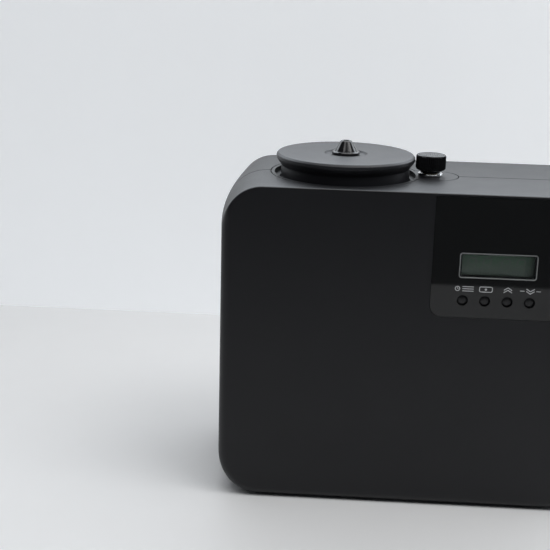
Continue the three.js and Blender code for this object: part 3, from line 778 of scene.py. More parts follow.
class PanelSettings(bpy.types.PropertyGroup):
    corner: FloatProperty(
        name="Panel corner", description="Rounding of the panel's lower corners",
        default=0.0065, unit="LENGTH",
    )
    display_line: FloatProperty(
        name="Display line", description="Width of the pale line round the display",
        default=0.0005, unit="LENGTH",
    )
    symbol_height: FloatProperty(
        name="Symbol height", description="Height of the printed symbols over the buttons",
        default=0.0028, unit="LENGTH",
    )


class FinishSettings(bpy.types.PropertyGroup):
    shell_colour: FloatVectorProperty(
        name="Shell colour", description="Satin black of the shells", subtype="COLOR",
        default=(0.0026, 0.0028, 0.0048),
    )
    shell_roughness: FloatProperty(
        name="Shell roughness", description="Sheen of the shells", default=0.45, subtype="FACTOR",
    )
    cap_colour: FloatVectorProperty(
        name="Cap colour", description="Satin black of the bottle cap", subtype="COLOR",
        default=(0.0150, 0.0154, 0.0190),
    )
    gloss_colour: FloatVectorProperty(
        name="Gloss colour", description="Black of the nozzle, knob and buttons", subtype="COLOR",
        default=(0.0080, 0.0080, 0.0092),
    )
    panel_colour: FloatVectorProperty(
        name="Panel colour", description="Black of the glossy control panel", subtype="COLOR",
        default=(0.0100, 0.0104, 0.0108),
    )
    display_colour: FloatVectorProperty(
        name="Display colour", description="Grey-green of the unlit display", subtype="COLOR",
        default=(0.225, 0.260, 0.238),
    )
    symbol_colour: FloatVectorProperty(
        name="Symbol colour", description="Ink of the printed symbols", subtype="COLOR",
        default=(0.55, 0.56, 0.57),
    )


class StageSettings(bpy.types.PropertyGroup):
    wall_colour: FloatVectorProperty(
        name="Wall colour", description="Pale wall behind the object", subtype="COLOR",
        default=(0.80, 0.815, 0.83),
    )
    table_colour: FloatVectorProperty(
        name="Table colour", description="Pale table top", subtype="COLOR",
        default=(0.83, 0.835, 0.84),
    )
    key_power: FloatProperty(
        name="Key power", description="Power of the overhead softbox", default=12.5, unit="POWER",
    )
    back_power: FloatProperty(
        name="Back power", description="Power of the softbox high behind the object",
        default=15.0, unit="POWER",
    )
    wash_power: FloatProperty(
        name="Wash power", description="Power of the light on the wall", default=3.0, unit="POWER",
    )
    wall_glow: FloatProperty(
        name="Wall glow", description="Light that the wall gives off itself", default=0.31,
    )
    room_glow: FloatProperty(
        name="Room glow", description="Brightness of the room in front", default=0.05,
    )
    backdrop: FloatProperty(
        name="Backdrop", description="Brightness seen where the stage ends", default=0.7,
    )
    camera_place: FloatVectorProperty(
        name="Camera place", description="Where the camera stands", subtype="XYZ",
        default=(-0.0410, -0.6557, 0.3053),
    )
    camera_turn: FloatVectorProperty(
        name="Camera turn", description="Turn to the right, tilt down and roll, in radians",
        default=(-0.055, 0.278, 0.027),
    )
    camera_lens: FloatProperty(
        name="Lens", description="Focal length for a 36 mm wide sensor, in millimetres", default=76.8,
    )


def settings():
    return bpy.context.scene.diffuser


class DiffuserSettings(bpy.types.PropertyGroup):
    housing: PointerProperty(type=HousingSettings)
    knob: PointerProperty(type=KnobSettings)
    panel: PointerProperty(type=PanelSettings)
    finish: PointerProperty(type=FinishSettings)
    stage: PointerProperty(type=StageSettings)


# ---------------------------------------------------------------- housing shells


def body_directions(housing, inset):
    """Points round the body's outline, shrunk by inset, each with its outward direction."""
    steps = 20
    corner = housing.corner / MM
    reach = corner - inset
    left, right = SHELL_LOW.x + corner, SHELL_HIGH.x - corner
    bottom, top = BASE + corner, TOP - corner
    middles = ((right, bottom, 3), (right, top, 0), (left, top, 1), (left, bottom, 2))
    outline = []
    for cx, cz, quarter in middles:
        for nx, nz in corner_points(0.0, 0.0, 1.0, quarter, steps):
            outline.append((cx + reach * nx, cz + reach * nz, nx, nz))
    return outline


def edge_radius(nz, inset, housing):
    """Rounding of the front and back edges: small where the outline faces up, wide elsewhere."""
    sharpen_from, sharpen_to = 0.15, 0.70  # upward part of the outline's direction
    share = min(1.0, max(0.0, (nz - sharpen_from) / (sharpen_to - sharpen_from)))
    share = share * share * (3 - 2 * share)
    side, top = housing.side_edge / MM, housing.top_edge / MM
    smallest = 0.3
    return max(side + (top - side) * share - 0.75 * inset, smallest)


def shell_ring(outline, side, inset, housing, depth_and_pull):
    """One ring of the skin: each point drawn in by its own rounding and by the sides' bow."""
    bow = housing.bow / MM
    points = []
    for x, z, nx, nz in outline:
        depth, pull = depth_and_pull(edge_radius(nz, inset, housing))
        inward = pull + bow * (nx * depth / BACK) ** 2
        points.append((x - nx * inward, side * depth, z - nz * inward))
    return points


def rounding(half, steps):
    """Stations over an edge's rounding, from the face to the side, each a function of its radius."""
    angles = [math.pi / 2 * (1 - k / steps) for k in range(steps + 1)]
    return [
        lambda radius, angle=angle: (half - radius * (1 - math.sin(angle)), radius * (1 - math.cos(angle)))
        for angle in angles
    ]


def half_body(name, side, housing):
    """A hollow half of the body, open at the seam: rounded outside edge and chamfered seam."""
    wall, bevel = housing.wall / MM, housing.seam_chamfer / MM
    bow_steps = 9
    bow_margin = 0.5  # the bowed slices stop this far before the edge's rounding
    outer = body_directions(housing, 0.0)
    inner = body_directions(housing, wall)
    inside = rounding(BACK - wall, 5)
    outside = rounding(BACK, 10)
    slices = [k / bow_steps for k in range(1, bow_steps)]
    far = BACK - housing.side_edge / MM - bow_margin
    rings = [shell_ring(inner, side, wall, housing, station) for station in inside]
    for share in reversed(slices):
        depth = SEAM + (far - wall - SEAM) * share
        rings.append(shell_ring(inner, side, wall, housing, lambda radius, depth=depth: (depth, 0.0)))
    rings.append(shell_ring(inner, side, wall, housing, lambda radius: (SEAM, 0.0)))
    rings.append(shell_ring(outer, side, 0.0, housing, lambda radius: (SEAM, bevel)))
    rings.append(shell_ring(outer, side, 0.0, housing, lambda radius: (SEAM + bevel, 0.0)))
    for share in slices:
        depth = SEAM + bevel + (far - SEAM - bevel) * share
        rings.append(shell_ring(outer, side, 0.0, housing, lambda radius, depth=depth: (depth, 0.0)))
    rings += [shell_ring(outer, side, 0.0, housing, station) for station in reversed(outside)]
    return loft(name, rings)


def panel_outline(grow, panel):
    """The control panel's outline: round lower corners, and nearly square ones at the top."""
    return rounded_outline(
        PANEL_LOW.x - grow, PANEL_HIGH.x + grow, PANEL_LOW.z - grow, PANEL_HIGH.z + grow,
        lower=panel.corner / MM + grow, upper=PANEL_TOP_CORNER, steps=8,
    )


def display_outline(inset):
    """The outline of the pale line round the display, shrunk by inset."""
    smallest_corner = 0.35
    return rounded_outline(
        DISPLAY_LOW.x + inset, DISPLAY_HIGH.x - inset, DISPLAY_LOW.z + inset, DISPLAY_HIGH.z - inset,
        max(DISPLAY_CORNER - inset, smallest_corner),
    )


def carve_insert_opening(shell):
    """Cuts this half's share of the keyhole-shaped opening in the top."""
    carve(shell, slab_z("insert opening", keyhole_outline(OPENING_GAP), TOP - 6, TOP + 5))


def carve_foot_recesses(shell, side):
    """Sinks the recesses of the two feet on this half: side is -1 in front and 1 behind."""
    for spot in FOOT_SPOTS:
        if spot.y * side > 0:
            outline = circle(spot.x, spot.y, FOOT_RECESS_RADIUS, 48)
            carve(shell, slab_z("foot recess", outline, BASE - 2, BASE + FOOT_RECESS_DEPTH))


def build_front_shell(housing, panel):
    """Front half: hollow, with the panel's pocket and the holes for the display and the keys."""
    shell = half_body("front_shell_skin", -1, housing)
    carve_insert_opening(shell)
    before, behind = FRONT - 3, FRONT + 8
    pocket_floor = PANEL_HIGH.y + PANEL_SEAT_GAP
    carve(shell, slab_y("panel pocket", panel_outline(PANEL_GAP, panel), before, pocket_floor))
    carve(shell, slab_y("display opening", display_outline(DISPLAY_LEDGE), before, behind))
    for spot in BUTTON_SPOTS.values():
        carve(shell, slab_y("key hole", circle(spot.x, spot.z, KEY_HOLE_RADIUS, 40), before, behind))
    carve_foot_recesses(shell, -1)
    dress(shell, "housing", "satin shell", ["front_shell"], edge=0.2)


def build_rear_shell(housing):
    """Rear half: hollow, with screw bosses and wells, the inlet's recess and the air slots."""
    shell = half_body("rear_shell_skin", 1, housing)
    carve_insert_opening(shell)
    skin, outside = BACK - BACK_SKIN, BACK + 3
    for spot in SCREW_SPOTS:
        boss = circle(spot.x, spot.z, SCREW_BOSS_RADIUS, 40)
        well = circle(spot.x, spot.z, SCREW_WELL_RADIUS, 40)
        carve(shell, slab_y("screw boss", boss, SCREW_BOSS_START, skin), operation="UNION")
        carve(shell, slab_y("screw well", well, SCREW_WELL_FLOOR, outside))
    pad = circle(INLET.x, INLET.z, INLET_PAD_RADIUS, 64)
    recess = circle(INLET.x, INLET.z, INLET_RECESS_RADIUS, 64)
    hole = circle(INLET.x, INLET.z, INLET_HOLE_RADIUS, 48)
    carve(shell, slab_y("inlet pad", pad, INLET_PAD_START, skin), operation="UNION")
    carve(shell, slab_y("inlet recess", recess, INLET_RECESS_FLOOR, outside))
    carve(shell, slab_y("inlet hole", hole, INLET_HOLE_START, outside))
    for k in range(VENT_COUNT):
        left = VENT_LEFT + VENT_PITCH * k
        slot_outline = rounded_outline(left, left + VENT_WIDTH, VENT_BOTTOM, VENT_TOP, VENT_WIDTH / 2 - 0.01)
        carve(shell, slab_y("air slot", slot_outline, BACK - 6, outside))
    carve_foot_recesses(shell, 1)
    dress(shell, "housing", "satin shell", ["rear_shell"], edge=0.2)


def build_insert():
    """The keyhole-shaped insert in the top, with the bay's bore and a sunk ledge round it."""
    below, above = TOP - 8, TOP + 2
    underside, ledge = (TOP - depth for depth in FLANGE_DEPTHS)
    plate = slab_z("top_insert_ring", keyhole_outline(0.0), TOP - INSERT_THICKNESS, TOP)
    flange = slab_z("insert flange", keyhole_outline(FLANGE_GROWTH), underside, ledge)
    carve(plate, flange, operation="UNION")
    bore = circle(CAP_CENTRE.x, 0, INSERT_BORE, SIDES)
    trench = circle(CAP_CENTRE.x, 0, TRENCH_RADIUS, SIDES)
    valve_hole = circle(KNOB_CENTRE.x, 0, VALVE_HOLE_RADIUS, 48)
    carve(plate, slab_z("bay bore", bore, below, above))
    carve(plate, slab_z("trench", trench, TOP - TRENCH_DEPTH, above))
    carve(plate, slab_z("valve hole", valve_hole, below, above))
    dress(plate, "housing", "satin shell", ["top_insert"], edge=0.15)


def build_feet():
    """Round feet with a raised rim that stands on the table."""
    low, high = box_mm("rubber_foot_1")
    radius = (high.x - low.x) / 2
    hollow = low.z + 0.35
    for index, spot in enumerate(FOOT_SPOTS, 1):
        profile = soften([
            (0, hollow), (radius - 2.6, hollow, 0.2), (radius - 2.2, low.z, 0.25),
            (radius - 0.5, low.z, 0.4), (radius, low.z + 0.5, 0.3), (radius, high.z, 0.15), (0, high.z),
        ], 0.2)
        foot = turned(f"foot_pad_{index}", profile, spot.x, spot.y, 64)
        dress(foot, "housing", "rubber", [f"rubber_foot_{index}"])


def build_case_screws():
    """Pan-head screws with a cross recess, at the bottom of the rear wells."""
    head, shank, head_height = 3.2, 1.5, 2.5
    cross_half_width, cross_half_length, cross_depth = 0.42, 1.75, 1.3
    for index, spot in enumerate(SCREW_SPOTS, 1):
        low, high = box_mm(f"case_screw_{index}")
        seat = high.y - head_height
        profile = soften([
            (0, high.y), (head - 1.0, high.y - 0.1, 0.8), (head, high.y - 1.1, 0.5), (head, seat, 0.15),
            (shank, seat, 0.1), (shank, low.y + 2, 0.3), (0, low.y),
        ], 0.2)
        screw = spun_y(f"case_screw_head_{index}", profile, spot.x, spot.z, 32)
        arm = (cross_half_width, cross_half_length)
        for wide, tall in (arm, arm[::-1]):
            outline = rounded_outline(
                spot.x - wide, spot.x + wide, spot.z - tall, spot.z + tall, 0.2, steps=2,
            )
            carve(screw, slab_y("cross recess", outline, high.y - cross_depth, high.y + 1))
        dress(screw, "housing", "zinc steel", [f"case_screw_{index}"], edge=0.06)


# ---------------------------------------------------------------- cap, nozzle and bottle


def plug_side():
    """The plug's side, going up: a groove for each seal, and the air groove between them."""
    grooves = (
        (163.4, 165.8, SEAL_GROOVE_DEPTH, 0.2),
        (166.8, 169.2, AIR_GROOVE_DEPTH, 0.15),
        (170.2, 172.6, SEAL_GROOVE_DEPTH, 0.2),
    )
    points = []
    for bottom, top, depth, lip in grooves:
        floor = PLUG_RADIUS - depth
        points += [
            (PLUG_RADIUS, bottom, lip), (floor, bottom, 0.1), (floor, top, 0.1), (PLUG_RADIUS, top, lip),
        ]
    return points


def build_cap():
    """Round cap: disc with a rounded rim, swept underside, plug and threaded socket."""
    rim = CAP_RADIUS
    socket, skirt = 23.9, 151.5
    profile = soften([
        (PLUG_AIR_BORE, PLUG_SHOULDER, 0.3), (socket, PLUG_SHOULDER, 0.4), (socket, skirt, 0.3),
        (PLUG_RADIUS - 0.8, skirt, 0.4), (PLUG_RADIUS, skirt + 0.8, 0.4),
        *plug_side(),
        (PLUG_RADIUS, CAP_COLLAR_BASE, 0.1), (CAP_COLLAR_RADIUS, CAP_COLLAR_BASE, 0.4),
        (CAP_COLLAR_RADIUS, 184.4, 1.5), (rim - 1.0, 186.7, 1.2), (rim, 188.4, 1.0), (rim, 190.0, 1.0),
        (rim - 1.1, CAP_TOP, 0.9), (CAP_DISH_RADIUS, CAP_TOP, 0.35), (CAP_DISH_RADIUS - 0.8, 190.1, 0.25),
        (PLUG_AIR_BORE, 190.0, 0.2), (PLUG_AIR_BORE, PLUG_SHOULDER, 0.3),
    ], 0.2)
    cap = turned("bottle_cap", profile, CAP_CENTRE.x, 0, FINE_SIDES)
    dress(cap, "cap", "satin cap", ["cap"])


def build_seals():
    """Two round-section rings in the plug's grooves, and the flat gasket on the bottle's neck."""
    for name in ("cap_seal_lower", "cap_seal_upper"):
        low, high = box_mm(name)
        middle = (low.z + high.z) / 2
        outer = (high.x - low.x) / 2
        section = (high.z - low.z) / 2
        profile = circle(outer - section, middle, section, 16)
        seal = turned(name + "_ring", profile + profile[:1], CAP_CENTRE.x, 0)
        dress(seal, "cap", "rubber", [name])
    low, high = box_mm("bottle_gasket")
    outer = (high.x - low.x) / 2
    width = 1.6
    profile = tube_profile(outer - width, outer, low.z, high.z, 0.35)
    gasket = turned("neck_gasket_ring", profile, CAP_CENTRE.x, 0)
    dress(gasket, "neck_gasket", "rubber", ["bottle_gasket"])


def build_nozzle():
    """Spray nozzle: a stepped flange, a polished cone and the outlet in its tip."""
    top = NOZZLE_TOP
    bore, outlet = 2.4, 0.8
    stem, flange = 5.9, 7.75
    profile = soften([
        (bore, 180.3, 0.1), (stem, 180.3, 0.3), (stem, 190.3, 0.1), (flange, 190.3, 0.25),
        (flange, 191.8, 0.35), (7.2, 192.3, 0.3), (6.35, 192.3, 0.15), (6.1, 192.8, 0.4),
        (3.35, top - 0.5, 0.4), (2.9, top, 0.25), (1.75, top, 0.2), (1.5, top - 0.9, 0.2),
        (outlet, top - 1.3, 0.15), (outlet, 190, 0.4), (bore, 188, 0.3), (bore, 180.3, 0.1),
    ], 0.2)
    nozzle = turned("spray_nozzle", profile, CAP_CENTRE.x, 0, 96)
    dress(nozzle, "cap", "gloss black", ["nozzle"])


def build_bottle():
    """Drawn metal bottle: rolled shoulder, neck bead, and a raised thread on the neck."""
    x = CAP_CENTRE.x
    low, high = BOTTLE_LOW.z, BOTTLE_HIGH.z
    outside, inside, neck = 32.5, 31.2, 22.8
    profile = soften([
        (0, low + 1.2), (24, low + 1.2, 4), (28.5, low, 1.5), (30.9, low, 2.0),
        (outside, low + 2.2, 2.0), (outside, 143, 6.0), (29.6, 148.3, 5.0), (24.4, 150.3, 0.8),
        (neck, 151.4, 0.6), (neck, high - 0.5, 0.2), (23.1, high - 0.4, 0.3), (23.1, high, 0.3),
        (22.1, high, 0.3), (22.1, 150.8, 1.0), (28.4, 147.2, 4.0), (inside, 142.4, 5.0),
        (inside, low + 4, 2.0), (28.5, low + 2.4, 1.5), (0, low + 2.6),
    ], 0.4)
    bottle = turned("metal_bottle", profile, x, 0, FINE_SIDES)
    thread = helix_ridge("neck thread", x, radius=22.7, height=0.75, start=153.0, pitch=3.0, turns=2.6)
    piece = gather("oil_bottle", [bottle, thread])
    dress(piece, "cartridge", "bottle metal", ["bottle"])


def helix_ridge(name, x, radius, height, start, pitch, turns):
    """A thread ridge with a narrow flat crest that fades in and out at its ends."""
    steps_per_turn, fade_rate, least_height = 72, 12, 0.05
    steps = int(turns * steps_per_turn)
    root = radius - 0.3
    half_root, half_crest = 0.9, 0.15
    rings = []
    for k in range(steps + 1):
        share = k / steps
        angle = 2 * math.pi * turns * share
        z = start + pitch * turns * share
        fade = min(1.0, fade_rate * share, fade_rate * (1 - share))
        crest = radius + height * max(fade, least_height)
        section = (
            (root, z - half_root), (crest, z - half_crest), (crest, z + half_crest), (root, z + half_root),
        )
        rings.append([(x + r * math.cos(angle), r * math.sin(angle), h) for r, h in section])
    return loft(name, rings)


def build_dip_tube():
    """Clear tube from the atomiser to the bottom of the bottle."""
    low, high = box_mm("dip_tube")
    bore = 1.8
    profile = tube_profile(bore, (high.x - low.x) / 2, low.z, high.z, 0.3)
    tube = turned("oil_dip_tube", profile, CAP_CENTRE.x, 0, 48)
    dress(tube, "cap", "silicone", ["dip_tube"])


def build_sleeve():
    """The deep cup that guides the bottle, with a lead-in at its mouth and its air barb."""
    low, high = box_mm("bottle_sleeve")
    outside, inside, floor = 37.0, 35.0, 2.4
    profile = soften([
        (0, low.z), (outside, low.z, 2.5), (outside, high.z, 0.3), (outside - 1.2, high.z, 0.3),
        (inside, high.z - 2.0, 0.6), (inside, low.z + floor, 2.0), (0, low.z + floor),
    ], 0.4)
    cup = turned("bay_sleeve_cup", profile, CAP_CENTRE.x, 0, FINE_SIDES)
    barb = barb_along("air barb", outside - 0.6, outside + 8.5)
    place = Matrix.Translation(Vector((CAP_CENTRE.x, 0, PORT_HEIGHT)) * MM)
    barb.data.transform(place @ Matrix.Rotation(PORT_TURN, 4, "Z"))
    piece = gather("bay_sleeve", [cup, barb])
    dress(piece, "housing", "milky plastic", ["bottle_sleeve"])


def barb_along(name, start, end):
    """A ridged hose barb along +X, open at its end."""
    root, valley, ridge, bore = 1.5, 1.4, 1.75, 0.9
    profile = soften([
        (0, start), (root, start), (root, end - 6), (ridge, end - 5.8), (valley, end - 4),
        (ridge, end - 3.8), (valley, end - 2), (ridge, end - 1.8), (1.3, end), (bore, end),
        (bore, start + 2), (0, start + 2),
    ], 0.1, 2)
    barb = turned(name, profile, 0, 0, 32)
    barb.data.transform(Matrix.Rotation(math.pi / 2, 4, "Y"))
    return barb


# ---------------------------------------------------------------- flow knob


def build_knob(knob):
    """Fluted knob with a chamfered foot and a top of small pyramids."""
    x = KNOB_CENTRE.x
    radius = (KNOB_HIGH.x - KNOB_LOW.x) / 2
    top, low = KNOB_HIGH.z, KNOB_LOW.z
    bore, socket, foot = 1.8, 4.2, 5.7
    profile = soften([
        (0, 188.4), (bore, 188.4), (bore, 183.4), (socket, 183.4), (socket, low, 0.2), (foot, low, 0.25),
        (foot, low + 1.1, 0.2), (radius - 0.7, low + 1.6, 0.3), (radius, low + 2.4, 0.3),
        (radius, top - 0.9, 0.3), (radius - 0.5, top - 0.1, 0.3), (radius - 0.9, top - 0.1, 0.1),
        (radius - 1.15, top - 0.3, 0.1), (0, top - 0.3),
    ], 0.2)
    steps_per_flute = 6
    body = turned("knob body", profile, x, 0, knob.flutes * steps_per_flute)
    for vertex in body.data.vertices:
        flute_vertex(vertex, x, radius, knob)
    pyramids = diamond_top(x, radius - 1.2, top - 0.35, 0.33, knob.diamond / MM)
    piece = gather("knurled_knob", [body, pyramids])
    dress(piece, "flow_knob", "gloss black", ["flow_knob"], sharp=28)


def flute_vertex(vertex, x, radius, knob):
    """Moves a vertex of the knob's wide part inwards, into its flute."""
    rim_width, crown = 1.1, 0.3  # the foot, the bore and the very top stay round
    offset = Vector((vertex.co.x / MM - x, vertex.co.y / MM))
    in_foot = offset.length < radius - rim_width
    if in_foot or vertex.co.z / MM > KNOB_HIGH.z - crown:
        return
    wave = math.cos(knob.flutes * math.atan2(offset.y, offset.x))
    offset *= 1 - knob.flute_depth / MM * (0.5 - 0.5 * wave) / offset.length
    vertex.co.x = (x + offset.x) * MM
    vertex.co.y = offset.y * MM


def diamond_top(x, reach, base, height, pitch):
    """Rows of small flat-tipped pyramids, turned 45 degrees, that fill a circle."""
    half = pitch / 2
    corner = half * math.sqrt(2) * 0.98  # a little under the pitch, so that neighbours stay apart
    spots = ((corner, 0), (0, corner), (-corner, 0), (0, -corner))
    count = int(reach / pitch) + 2
    points, faces = [], []
    for i in range(-count, count + 1):
        for j in range(-count, count + 1):
            cx = (i - j) * pitch / math.sqrt(2)
            cy = (i + j) * pitch / math.sqrt(2)
            if math.hypot(cx, cy) > reach - half:
                continue
            first = len(points)
            points += [(x + cx + dx, cy + dy, base) for dx, dy in spots]
            points += [(x + cx + dx * FLAT_SHARE, cy + dy * FLAT_SHARE, base + height) for dx, dy in spots]
            lower = [first + k for k in range(4)]
            upper = [first + 4 + k for k in range(4)]
            faces += skin_rings([lower, upper], False)
            faces += [lower[::-1], upper]
    return new_piece("knob diamonds", points, faces)


def build_collar():
    """Bright round collar nut under the knob."""
    low, high = box_mm("valve_nut")
    bore, outside = 4.2, 6.9
    profile = soften([
        (bore, low.z, 0.1), (outside, low.z, 0.15), (outside, high.z - 0.1, 0.35),
        (outside - 0.6, high.z, 0.3), (bore, high.z, 0.15), (bore, low.z, 0.1),
    ], 0.2)
    collar = turned("collar_nut", profile, KNOB_CENTRE.x, 0, 96)
    dress(collar, "housing", "chrome", ["valve_nut"])


# ---------------------------------------------------------------- control panel


def build_panel(panel):
    """Glossy sheet, cut out for the display and the keys."""
    sheet = slab_y("panel_sheet", panel_outline(0.0, panel), FRONT + 2 * INK, PANEL_HIGH.y)
    before, behind = FRONT - 2, FRONT + 4
    carve(sheet, slab_y("display cut", display_outline(-DISPLAY_CUT_GAP), before, behind))
    for spot in BUTTON_SPOTS.values():
        carve(sheet, slab_y("button cut", circle(spot.x, spot.z, KEY_CUT_RADIUS, 48), before, behind))
    dress(sheet, "housing", "panel gloss", ["control_panel"], edge=0.12)


def build_display(panel):
    """Pale line round the display, the clear window in it, and the cell behind."""
    edge = slab_y("display_edge", display_outline(0.0), FRONT + 0.06, FRONT + 1.0)
    bore = display_outline(panel.display_line / MM)
    carve(edge, slab_y("display bore", bore, FRONT - 2, FRONT + 4))
    dress(edge, "housing", "frame line", ["display_frame"], edge=0.08)
    window, _ = plate_from_box("display_lens", "display_window", 0.6)
    dress(window, "housing", "clear window", ["display_window"], edge=0.12)
    build_display_face()


def plate_from_box(name, node, corner):
    """An upright plate with rounded corners that fills a CAD node's box, and that box's corners."""
    low, high = box_mm(node)
    outline = rounded_outline(low.x, high.x, low.z, high.z, corner)
    return slab_y(name, outline, low.y, high.y), (low, high)


def build_display_face():
    """The display cell: a glass plate with four faint unlit digits and a colon."""
    cell, (low, high) = plate_from_box("display_cell", "lcd_cell", 0.4)
    dress(cell, "housing", "display glass", ["lcd_cell"], edge=0.1)
    middle = (low.z + high.z) / 2
    left = (low.x + high.x) / 2 - 1.75 * DIGIT_PITCH
    digits = []
    for k in range(4):
        room = COLON_ROOM if k > 1 else 0.0
        digits += digit_segments(left + DIGIT_PITCH * k + room, middle, low.y)
    colon_x = left + 2 * DIGIT_PITCH - 0.7
    for dz in (-1.6, 1.6):
        digits.append(segment(circle(colon_x, middle + dz, 0.45, 16), low.y))
    segments = gather("display_segments", digits)
    dress(segments, "housing", "unlit segments")


def segment(outline, y):
    """One thin bar or dot on the cell's face at depth y."""
    before, behind = SEGMENT_FACES
    return slab_y("segment", outline, y - before, y + behind)


def digit_segments(x, z, y):
    """Seven bars of one slanted digit, about 4 wide and 7.4 high between the bars' middles."""
    half_w, half_h, thick, lean, gap = 2.0, 3.7, 0.42, 0.12, 0.25
    bars = [((0, height), True) for height in (half_h, 0, -half_h)]
    bars += [((sx * half_w, sz * half_h / 2), False) for sx in (-1, 1) for sz in (-1, 1)]
    made = []
    for (cx, cz), level in bars:
        long = (half_w if level else half_h / 2) - gap
        tip = (
            (-long, 0), (-long + thick, -thick), (long - thick, -thick),
            (long, 0), (long - thick, thick), (-long + thick, thick),
        )
        flat = tip if level else tuple((-b, a) for a, b in tip)
        outline = [(x + cx + a + lean * (cz + b), z + cz + b) for a, b in flat]
        made.append(segment(outline, y))
    return made


def build_buttons():
    """Small domed keys, recessed in the panel, with a flange behind it."""
    head, flange, stem = 2.82, 3.9, 1.6
    for name, spot in BUTTON_SPOTS.items():
        low, high = box_mm("button_" + name)
        profile = soften([
            (0, low.y + 0.02), (1.3, low.y + 0.1, 1.2), (2.4, low.y + 0.35, 0.6), (head, low.y + 0.9, 0.4),
            (head, low.y + 2.1, 0.1), (flange, low.y + 2.1, 0.1), (flange, low.y + 3.1, 0.1),
            (stem, low.y + 3.1, 0.2), (stem, high.y, 0.2), (0, high.y),
        ], 0.2)
        key = spun_y("key_" + name, profile, spot.x, spot.z, 48)
        dress(key, "button_" + name, "button black", ["button_" + name])


def stroke(points, width, y):
    """A flat printed line of even width along a polyline in the XZ plane."""
    left, right = [], []
    count = len(points)
    for i, point in enumerate(points):
        before = Vector(points[max(i - 1, 0)])
        after = Vector(points[min(i + 1, count - 1)])
        along = (after - before).normalized()
        here = Vector(point)
        side = Vector((-along.y, along.x)) * width / 2
        if 0 < i < count - 1:
            lead = (here - before).normalized()
            side /= max(0.5, lead.dot(along))
        left.append(tuple(here + side))
        right.append(tuple(here - side))
    return slab_y("stroke", right + left[::-1], y - INK, y + INK)


def ring_stroke(x, z, radius, width, y):
    """A flat printed ring in the XZ plane."""
    steps = 48
    half = width / 2
    corners = ((-half, -INK), (half, -INK), (half, INK), (-half, INK))
    rings = []
    for k in range(steps):
        angle = 2 * math.pi * k / steps
        section = [(radius + a, y + b) for a, b in corners]
        rings.append([(x + r * math.cos(angle), d, z + r * math.sin(angle)) for r, d in section])
    return loft("ring", rings, wraps=True)


def clock_and_lines(x, z, y, half):
    """A round clock face with its hands, and three lines of a list beside it."""
    clock = x - 3.6
    marks = [ring_stroke(clock, z, half - SYMBOL_LINE / 2, SYMBOL_LINE, y)]
    marks.append(stroke([(clock, z + 0.8), (clock, z), (clock + 0.6, z - 0.25)], SYMBOL_LINE * 0.8, y))
    for step in (-1, 0, 1):
        level = z + step * (half - 0.2)
        marks.append(stroke([(x - 1.0, level), (x + 5.0, level)], SYMBOL_LINE, y))
    return marks


def framed_dot(x, z, y, half):
    """A dot in a rounded frame."""
    frame_box = rounded_outline(x - 3.4, x + 3.4, z - half, z + half, 0.8, steps=4)
    dot = slab_y("dot", circle(x, z, 0.62, 24), y - INK, y + INK)
    return [stroke(frame_box + frame_box[:1], SYMBOL_LINE, y), dot]


def chevrons(x, z, y, way, dash):
    """Two chevrons that point up or down, with a dash on both sides where dash has a length."""
    wing = 2.2
    marks = []
    for lift in (-0.75, 0.55):
        tip = z + way * (lift + 0.9)
        foot = z + way * (lift - 0.5)
        marks.append(stroke([(x - wing, foot), (x, tip), (x + wing, foot)], SYMBOL_LINE * 1.1, y))
    for side in (-1, 1) if dash else ():
        marks.append(stroke([(x + side * 3.1, z), (x + side * (3.1 + dash), z)], SYMBOL_LINE, y))
    return marks


def build_symbols(panel):
    """Plain symbols over the keys: clock and lines, dot in a frame, chevrons up, chevrons down."""
    half = panel.symbol_height / MM / 2
    z = BUTTON_SPOTS["mode"].z + SYMBOL_LIFT
    y = FRONT + INK + 0.01
    marks = clock_and_lines(BUTTON_SPOTS["mode"].x + 0.6, z, y, half)
    marks += framed_dot(BUTTON_SPOTS["set"].x + 0.2, z, y, half)
    marks += chevrons(BUTTON_SPOTS["up"].x, z, y, way=1, dash=0.0)
    marks += chevrons(BUTTON_SPOTS["down"].x, z, y, way=-1, dash=2.4)
    symbols = gather("panel_symbols", marks)
    dress(symbols, "housing", "printed white")


# ---------------------------------------------------------------- power inlet


def build_inlet():
    """Coaxial power socket with its pin, and the hexagonal nut that holds it in the rear shell."""
    x, z = INLET.x, INLET.z
    low, high = box_mm("dc_jack")
    rear, flange, barrel, mouth, pin = 5.0, 8.0, 5.4, 2.9, 1.0
    profile = soften([
        (0, low.y), (rear, low.y, 0.4), (rear, 40.6, 0.1), (flange, 40.6, 0.3), (flange, 42.6, 0.3),
        (barrel, 42.6, 0.1), (barrel, high.y, 0.3), (mouth + 0.4, high.y, 0.2),
        (mouth, high.y - 0.4, 0.2), (mouth, 38.5, 0.2), (pin, 38.5, 0.1), (pin, 46.2, 0.4), (0, 46.5),
    ], 0.2)
    socket = spun_y("inlet_socket", profile, x, z, 64)
    dress(socket, "housing", "pump grey", ["dc_jack"])
    low, high = box_mm("jack_nut")
    hexagon = circle(x, z, (high.z - low.z) / 2, 6)
    turned_hexagon = [(x + (b - z), z + (a - x)) for a, b in hexagon]
    nut = slab_y("inlet_nut", turned_hexagon, low.y, high.y)
    nut_bore = circle(x, z, barrel + 0.2, 48)
    carve(nut, slab_y("nut bore", nut_bore, low.y - 1, high.y + 1))
    dress(nut, "housing", "zinc steel", ["jack_nut"], edge=0.25)


# ---------------------------------------------------------------- carried-over CAD pieces

